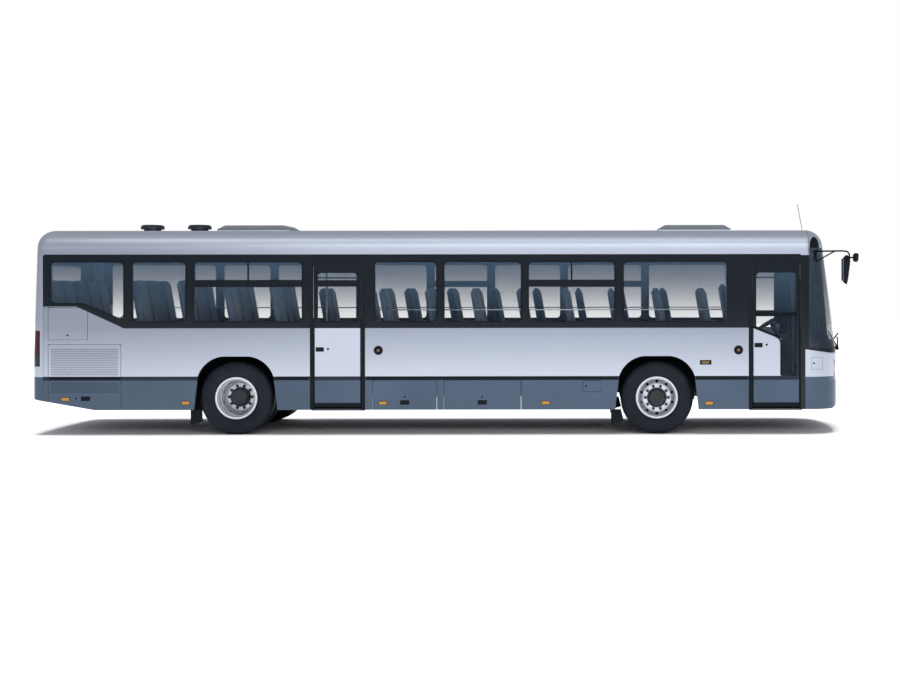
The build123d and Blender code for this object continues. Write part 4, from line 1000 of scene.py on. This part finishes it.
# Round push buttons beside the doors, and the side indicator
push_places = ((-0.920, 1.216), (4.271, 1.216))
indicator_x = (3.715, 3.880)
indicator_z = (1.005, 1.070)
indicator_lens_x = (3.745, 3.850)
indicator_lens_z = (1.020, 1.055)
eyes = []
push = []
for x, z in push_places:
    push.append(button(x, z, 0.066, 0.006, sides=32))
    push.append(button(x, z, 0.036, 0.006, sides=24, stand=0.004))
    eyes.append(button(x, z, 0.020, 0.005, sides=20, stand=0.008))
plastic("push_buttons", push, smooth=True)
piece("push_button_eyes", eyes, amber_lens, "bus_body", "lamp_clear", smooth=True)
plastic("side_indicator_holder", [strip(*indicator_x, *indicator_z, 0.004, 0.002)], bevel=0.003)
indicator_lens = [strip(*indicator_lens_x, *indicator_lens_z, 0.010)]
piece("side_indicator", indicator_lens, amber_lens, "bus_body", "lamp_clear", bevel=0.004)

# Tyres: rounded shoulders round a plain tread. Each side is (radius, distance in from the sidewall)
tyre_side = [
    (0.296, 0.040),
    (0.335, 0.006),
    (0.400, 0.0),
    (0.470, 0.010),
    (0.508, 0.028),
    (tyre_radius, 0.060),
]
tyre_turns = 38


def tyre_piece(name, places, body, node):
    parts = []
    for axle_x, middle_y, half in places:
        profile = [(radius, middle_y - half + inset) for radius, inset in tyre_side]
        profile.append((tyre_radius, middle_y))
        profile += [(radius, middle_y + half - inset) for radius, inset in reversed(tyre_side)]
        parts.append(lathe(profile, axle_x, wheel_z, tyre_turns, -math.pi / 2))
    tyre = piece(name, parts, tyre_rubber, body, "tyre", smooth=True)
    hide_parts(node)


for word in ("left", "right"):
    for axle, plural, axle_x in (("front", "", front_axle_x), ("rear", "s", rear_axle_x)):
        node = f"{axle}_{word}_tyre{plural}"
        boxes = solids_in(node) if plural else [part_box(node)]
        places = [(axle_x, (low.y + high.y) / 2, (high.y - low.y) / 2) for low, high in boxes]
        tyre_piece(f"{axle}_{word}_tyre_rubber", places, f"{axle}_{word}_wheel{plural}", node)

# Wheel trim: lips on the rim, washers and nuts, and rings on the hubs
stud_circle = 0.167
nut_count = 10
nut_turn = {-1: 0.0, 1: 0.5}
stud_hole = 0.0135
washer_radius = 0.026
washer_thick = 0.004
nut_radius = 0.0215
nut_height = 0.018
cap_height = 0.036
rim_lips = ((0.3005, 0.0), (0.281, 0.010), (0.262, 0.030))
front_lip_y = 1.179
rear_lip_y = 1.209
rear_nut_y = 0.941
rear_hub_y = 1.055


def wheel_trim(word, body, axle_x, side_way, lip_y, nut_y, hub_y, hub_radius=0.099):
    """Lips, washers and nuts of one wheel, with rings on its hub. Side_way is -1 on the right."""
    lips = []
    for radius, back in rim_lips:
        y = lip_y - side_way * back
        section = [(radius + a, y + side_way * b)
                   for a, b in ((-0.006, -0.003), (-0.003, 0.003), (0.003, 0.003), (0.006, -0.003))]
        lips.append(closed_lathe(section, axle_x, wheel_z, 48))
    nuts = []
    washer_face = nut_y + side_way * washer_thick
    washer = [
        (stud_hole, nut_y), (washer_radius, nut_y), (washer_radius, washer_face), (stud_hole, washer_face)
    ]
    cap = [
        (nut_radius, washer_face),
        (nut_radius, washer_face + side_way * nut_height),
        (nut_radius * 0.75, nut_y + side_way * cap_height * 0.97),
        (weld, nut_y + side_way * cap_height),
    ]
    for i in range(nut_count):
        angle = 2 * math.pi * (i + nut_turn[side_way]) / nut_count
        x = axle_x + stud_circle * math.cos(angle)
        z = wheel_z + stud_circle * math.sin(angle)
        lips.append(closed_lathe(washer, x, z, 12))
        nuts.append(lathe(cap, x, z, 6))
    piece(f"{word}_rim_lips", lips, rim_bright, body, "wheel_silver", smooth=True)
    piece(f"{word}_nuts", nuts, nut_dark, body, "cast_iron")
    rings = []
    for share in (0.35, 0.55, 0.75):
        radius = hub_radius * share
        section = [(radius - 0.004, hub_y), (radius, hub_y + side_way * 0.004), (radius + 0.004, hub_y)]
        rings.append(lathe(section, axle_x, wheel_z, 32))
    piece(f"{word}_hub_rings", rings, nut_dark, body, "cast_iron", smooth=True)


rim_bright = plain_material("rim_bright", (0.58, 0.61, 0.66), 0.3, 0.7, 0.15, 90.0, 0.0001)
nut_dark = plain_material("nut_dark", (0.030, 0.034, 0.042), 0.45, 0.5, 0.3, 200.0, 0.0002)
for word, way in (("left", 1), ("right", -1)):
    low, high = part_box(f"front_{word}_wheel")
    outer_y = high.y if way > 0 else low.y
    front_faces = (way * front_lip_y, way * front_disc_y, outer_y)
    wheel_trim(f"front_{word}", f"front_{word}_wheel", front_axle_x, way, *front_faces)
    rear_faces = (way * rear_lip_y, way * rear_nut_y, way * rear_hub_y)
    wheel_trim(f"rear_{word}", f"rear_{word}_wheels", rear_axle_x, way, *rear_faces)

# Seats: crowned cushions and reclined backs with sewn channels
channel_count = 5
channel_steps = 4
seat_round = 0.035


def pad(width, length, thick, rows, lobe, crown):
    """A padded slab lying in X (length) and Y (width), its top crowned and sewn in channels along X."""
    columns = channel_count * channel_steps
    points = []
    faces = []
    for layer in (1, -1):
        for i in range(rows + 1):
            along = i / rows
            for j in range(columns + 1):
                across = j / columns
                edge = min(along, 1 - along) * length
                side_edge = min(across, 1 - across) * width
                pull_x = 0.012 * math.sin(math.pi * across) * (1 if along > 0.5 else -1) * (edge < 0.001)
                rise = min(1.0, edge / seat_round) ** 0.5 * min(1.0, side_edge / seat_round) ** 0.5
                swell = crown * math.sin(math.pi * along) * math.sin(math.pi * across)
                channel = lobe * (abs(math.sin(math.pi * across * channel_count)) ** 0.6 - 1)
                height = thick / 2 * (0.35 + 0.65 * rise)
                if layer > 0:
                    height += swell + channel * rise
                points.append((along * length + pull_x, (across - 0.5) * width, layer * height))
    stride = columns + 1
    layer_size = (rows + 1) * stride
    for layer in (0, 1):
        for i in range(rows):
            for j in range(columns):
                a = layer * layer_size + i * stride + j
                quad = (a, a + 1, a + 1 + stride, a + stride)
                faces.append(quad if layer else tuple(reversed(quad)))
    loop = list(range(stride))
    loop += [i * stride + columns for i in range(1, rows + 1)]
    loop += [rows * stride + j for j in range(columns - 1, -1, -1)]
    loop += [i * stride for i in range(rows - 1, 0, -1)]
    for k in range(len(loop)):
        a, b = loop[k], loop[(k + 1) % len(loop)]
        faces.append((a, b, b + layer_size, a + layer_size))
    return points, faces


def turned_pad(part, origin, angle):
    """A pad moved to its origin and tipped back about Y."""
    points, faces = part
    turned = []
    for x, y, z in points:
        turned.append(
            (
                origin[0] + x * math.cos(angle) - z * math.sin(angle),
                origin[1] + y,
                origin[2] + x * math.sin(angle) + z * math.cos(angle),
            )
        )
    return turned, faces



cushion_thick = 0.110
cushion_length = 0.425
back_thick = 0.105
back_length = 0.800
recline = math.radians(100)
shell_section = ((-0.100, -0.05), (-0.088, -0.05), (-0.232, 0.72), (-0.222, 0.72))
groups = {"rear_row_seats": [], "left_seats": [], "right_seats": []}
shell_parts = []
for low, high in solids_in("seats"):
    middle_y = (low.y + high.y) / 2
    width = high.y - low.y - 0.010
    cushion_x0 = high.x - 0.430
    cushion_top = low.z + 0.120
    cushion = pad(width, cushion_length, cushion_thick, 8, 0.008, 0.010)
    back = pad(width, back_length, back_thick, 12, 0.010, 0.008)
    parts = [
        turned_pad(cushion, (cushion_x0, middle_y, low.z + 0.058), 0.0),
        turned_pad(back, (cushion_x0 - 0.046, middle_y, cushion_top - 0.030), recline),
    ]
    if low.x < cap_x + 0.2:
        groups["rear_row_seats"] += parts
    elif middle_y > 0:
        groups["left_seats"] += parts
    else:
        groups["right_seats"] += parts
    edges = (middle_y - width / 2, middle_y + width / 2)
    shell = [(cushion_x0 + x, y, cushion_top + z) for x, z in shell_section for y in edges]
    shell_parts.append((shell, box_faces))
for name, parts in groups.items():
    cushions = piece(name, parts, fabric_blue, "bus_body", "seat_fabric", smooth=True)
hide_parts("seats")
piece("seat_backs", shell_parts, dash_plastic, "bus_body", "plastic_black", bevel=0.006)

# Mirrors: tapered heads with their glass on bent arms, the right one braced to the roof's corner
def mirror_head(rear_x, middle_y, low_z, high_z, depth, width, taper, rings=12, sides=24):
    """A rounded housing whose back is flat and whose depth grows upwards by the taper."""
    points = []
    for i in range(rings + 1):
        level = 2 * i / rings - 1
        fullness = max(0.02, 1 - abs(level) ** 4) ** 0.4
        half_depth = depth / 2 * fullness * (1 + taper * (level - 1) / 2)
        half_width = width / 2 * fullness
        z = low_z + (high_z - low_z) * (level + 1) / 2
        for k in range(sides):
            angle = 2 * math.pi * k / sides
            c, t = math.cos(angle), math.sin(angle)
            across = math.copysign(abs(c) ** 0.7, c) * half_depth
            points.append((rear_x + depth / 2 * (1 - fullness) + half_depth + across,
                           middle_y + math.copysign(abs(t) ** 0.7, t) * half_width, z))
    return points, skin(rings + 1, sides)


mirror_boxes = sorted(solids_in("mirrors"), key=lambda box: box[0].y)
head_depth = 0.120
head_width = 0.220
head_height = 0.418
wide_depth = 0.075
wide_height = 0.130
arm_radius = 0.012
face_half = 0.088
heads = []
arms = []
faces_of_glass = []
for low, high in mirror_boxes:
    way = 1 if low.y > 0 else -1
    middle_y = way * (max(abs(low.y), abs(high.y)) - head_width / 2)
    root_y = low.y if way > 0 else high.y
    head_x = high.x - 0.170
    head_rear = head_x - head_depth / 2
    head_low = low.z
    head_high = head_low + head_height
    arm_z = high.z - 0.022
    heads.append(mirror_head(head_rear, middle_y, head_low, head_high, head_depth, head_width, 0.45))
    wide_rear = high.x - wide_depth
    wide_z = head_high - 0.035
    wide_low = wide_z - wide_height / 2
    wide_high = wide_z + wide_height / 2
    heads.append(mirror_head(wide_rear, middle_y, wide_low, wide_high, wide_depth, head_width * 0.8, 0.1))
    root_x = low.x + arm_radius
    root_y -= way * 0.01
    bend = [
        (root_x, root_y, arm_z),
        (head_x - 0.05, middle_y, arm_z),
        (head_x + 0.015, middle_y, arm_z - 0.012),
        (head_x + 0.040, middle_y, arm_z - 0.05),
        (head_x + 0.040, middle_y, head_high - 0.12),
    ]
    arms.append(tube(bend, arm_radius, 12))
    stem = [(head_x + 0.03, middle_y, wide_z), (wide_rear + 0.03, middle_y, wide_z)]
    arms.append(tube(stem, arm_radius, 10))
    if way < 0:
        wall_y = root_y + way * 0.01
        brace_end = (root_x + 0.28, (wall_y + middle_y) / 2, arm_z)
        arms.append(tube([(root_x + 0.02, root_y, arm_z - 0.150), brace_end], 0.010, 10))
        foot = (mask_start_x, root_x + 0.03, wall_y - 0.02, wall_y + 0.02)
        arms.append(slab(*foot, arm_z - 0.140, arm_z + 0.015))
    pane = (head_rear - 0.001, head_rear + 0.006, middle_y - face_half, middle_y + face_half)
    faces_of_glass.append(slab(*pane, head_low + 0.05, head_high - 0.05))
mirror_heads = plastic("mirror_heads", heads, smooth=True)
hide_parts("mirrors")
plastic("mirror_arms", arms, smooth=True)
piece("mirror_faces", faces_of_glass, mirror_face, "bus_body", "glass", bevel=0.002)

# Guard rails along the windows, on brackets from the walls
rail_radius = 0.009
rail_inset = 0.066
guard_z = 1.800
rails = []
middle_door_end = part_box("middle_door_leaf")[1].x
front_door_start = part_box("front_door_leaf")[0].x
rail_end = front_door_start - 0.20
for way, x0, x1 in ((-1, middle_door_end + 0.12, rail_end), (1, cap_x + 0.5, rail_end)):
    y = way * (side_y - rail_inset)
    rails.append(tube([(x0, y, guard_z), (x1, y, guard_z)], rail_radius, 10))
    bracket_count = int((x1 - x0) / 1.0)
    for i in range(bracket_count + 1):
        x = x0 + (x1 - x0) * i / bracket_count
        reach_in = (0.017 - rail_inset, rail_inset)
        rails.append(strip(x - 0.01, x + 0.01, guard_z - 0.008, guard_z + 0.008, *reach_in, way))
piece("guard_rails", rails, brushed_steel, "bus_body", "handrail", smooth=True)


# Roof hatches: covers with sloping edges on their frames
def hatch_cover(name):
    low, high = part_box(name)
    rim_z = low.z + (high.z - low.z) * 0.35
    parts = [slab(low.x, high.x, low.y, high.y, low.z, rim_z)]
    points = []
    for in_x, in_y, z in ((0.020, 0.020, rim_z), (0.100, 0.060, high.z)):
        points += [(x, y, z) for x, y in rectangle(low.x + in_x, high.x - in_x, low.y + in_y, high.y - in_y)]
    faces = [(0, 1, 5, 4), (1, 2, 6, 5), (2, 3, 7, 6), (3, 0, 4, 7), (4, 5, 6, 7), (3, 2, 1, 0)]
    parts.append((points, faces))
    cover = piece(name + "_cover", parts, hatch_grey, name, "body_silver", bevel=0.012)
    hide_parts(name)


for hatch in ("front_roof_hatch", "rear_roof_hatch"):
    hatch_cover(hatch)

# Wiper pivots on the front, with their linkage
wiper_low, wiper_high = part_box("wipers")
pivot_z = wiper_low.z + 0.02
pivot_parts = []
for y in (-0.42, 0.42):
    shaft = [(wiper_high.x - 0.085, y, pivot_z), (wiper_high.x - 0.005, y, pivot_z)]
    pivot_parts.append(tube(shaft, 0.030, 16))
    link_top = (wiper_high.x - 0.020, y, wiper_low.z + 0.19)
    pivot_parts.append(tube([(wiper_high.x - 0.012, y, pivot_z), link_top], 0.011, 10))
plastic("wiper_pivots", pivot_parts, smooth=True)

# Seams drawn round the lids above and behind the rear wheel
lid_seams = []
for name in ("upper_side_lid", "engine_side_door"):
    low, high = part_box(name)
    upper = name == "upper_side_lid"
    lid_seams.append(level_seam(low.x - seam, high.x + seam, high.z + seam / 2))
    if upper:
        lid_seams.append(level_seam(low.x - seam, high.x + seam, low.z - seam / 2))
    for x in (low.x - seam / 2, high.x + seam / 2):
        lid_seams.append(upright_seam(x, low.z if upper else 0.56, high.z))
piece("lid_seams", lid_seams, seam_dark, "bus_body", "rubber")

# The floor under the wheels, and the white beyond it
ground = bpy.data.meshes.new("ground")
reach = 60.0
corners = [(x, y, 0) for x, y in rectangle(-reach, reach, -reach, reach)]
ground.from_pydata(corners, [], [(0, 1, 2, 3)])
ground_thing = bpy.data.objects.new("ground", ground)
bpy.context.scene.collection.objects.link(ground_thing)
ground.materials.append(plain_material("ground_white", (0.92, 0.92, 0.93), 0.9, 0.0, 0.01, 1.0, 0.0001))

world = bpy.data.worlds.new("studio")
bpy.context.scene.world = world
world.use_nodes = True
tree = world.node_tree
tree.nodes.clear()
rays = tree.nodes.new("ShaderNodeLightPath")
seen = tree.nodes.new("ShaderNodeMath")
seen.operation = "MAXIMUM"
tree.links.new(rays.outputs["Is Camera Ray"], seen.inputs[0])
tree.links.new(rays.outputs["Is Transmission Ray"], seen.inputs[1])


def background(colour, strength):
    node = tree.nodes.new("ShaderNodeBackground")
    node.inputs["Color"].default_value = (*colour, 1.0)
    node.inputs["Strength"].default_value = strength
    return node


sky = background((0.86, 0.89, 0.94), 0.5)
paper = background((1.0, 1.0, 1.0), 1.0)
blend = tree.nodes.new("ShaderNodeMixShader")
world_out = tree.nodes.new("ShaderNodeOutputWorld")
tree.links.new(seen.outputs[0], blend.inputs[0])
tree.links.new(sky.outputs[0], blend.inputs[1])
tree.links.new(paper.outputs[0], blend.inputs[2])
tree.links.new(blend.outputs[0], world_out.inputs["Surface"])


def soft_lamp(name, place, target, width, height, power, colour=(1.0, 1.0, 1.0)):
    """An area lamp that faces a point."""
    light = bpy.data.lights.new(name, "AREA")
    light.shape = "RECTANGLE"
    light.size = width
    light.size_y = height
    light.energy = power
    light.color = colour
    lamp = bpy.data.objects.new(name, light)
    lamp.location = place
    lamp.rotation_euler = (Vector(target) - Vector(place)).to_track_quat("-Z", "Y").to_euler()
    bpy.context.scene.collection.objects.link(lamp)
    return lamp


# A broad lamp that lights the floor alone, so that the paper stays white and keeps the shadow
paper_light = bpy.data.lights.new("paper_light", "SUN")
paper_light.energy = 3.6
paper_light.angle = math.radians(24)
paper_lamp = bpy.data.objects.new("paper_light", paper_light)
paper_lamp.rotation_euler = (math.radians(-1), 0.0, 0.0)
bpy.context.scene.collection.objects.link(paper_lamp)
lit_by_paper = bpy.data.collections.new("lit_by_paper_light")
lit_by_paper.objects.link(ground_thing)
paper_lamp.light_linking.receiver_collection = lit_by_paper

soft_lamp("near_side", (2.0, -13.0, 5.0), (0.0, 0.0, 1.4), 16.0, 3.0, 500.0)

# A lamp over the roof's edge, for the roof alone
roof_lamp = soft_lamp("roof_light", (0.0, -6.0, 7.5), (0.0, -1.0, 2.8), 16.0, 3.0, 170.0)
roof_set = bpy.data.collections.new("lit_by_roof_light")
roof_set.objects.link(nodes["roof"])
roof_lamp.light_linking.receiver_collection = roof_set

# The camera of the photograph
camera_data = bpy.data.cameras.new("camera")
camera_data.lens = 55.51
camera_data.sensor_width = 36.0
camera_data.shift_x = -0.1731
camera_data.shift_y = -0.0541
camera = bpy.data.objects.new("camera", camera_data)
camera.location = (2.268, -21.25, 2.099)
camera.rotation_euler = (math.radians(90.0), math.radians(0.059), math.radians(-0.257))
bpy.context.scene.collection.objects.link(camera)
bpy.context.scene.camera = camera
bpy.context.scene.view_settings.view_transform = "Standard"
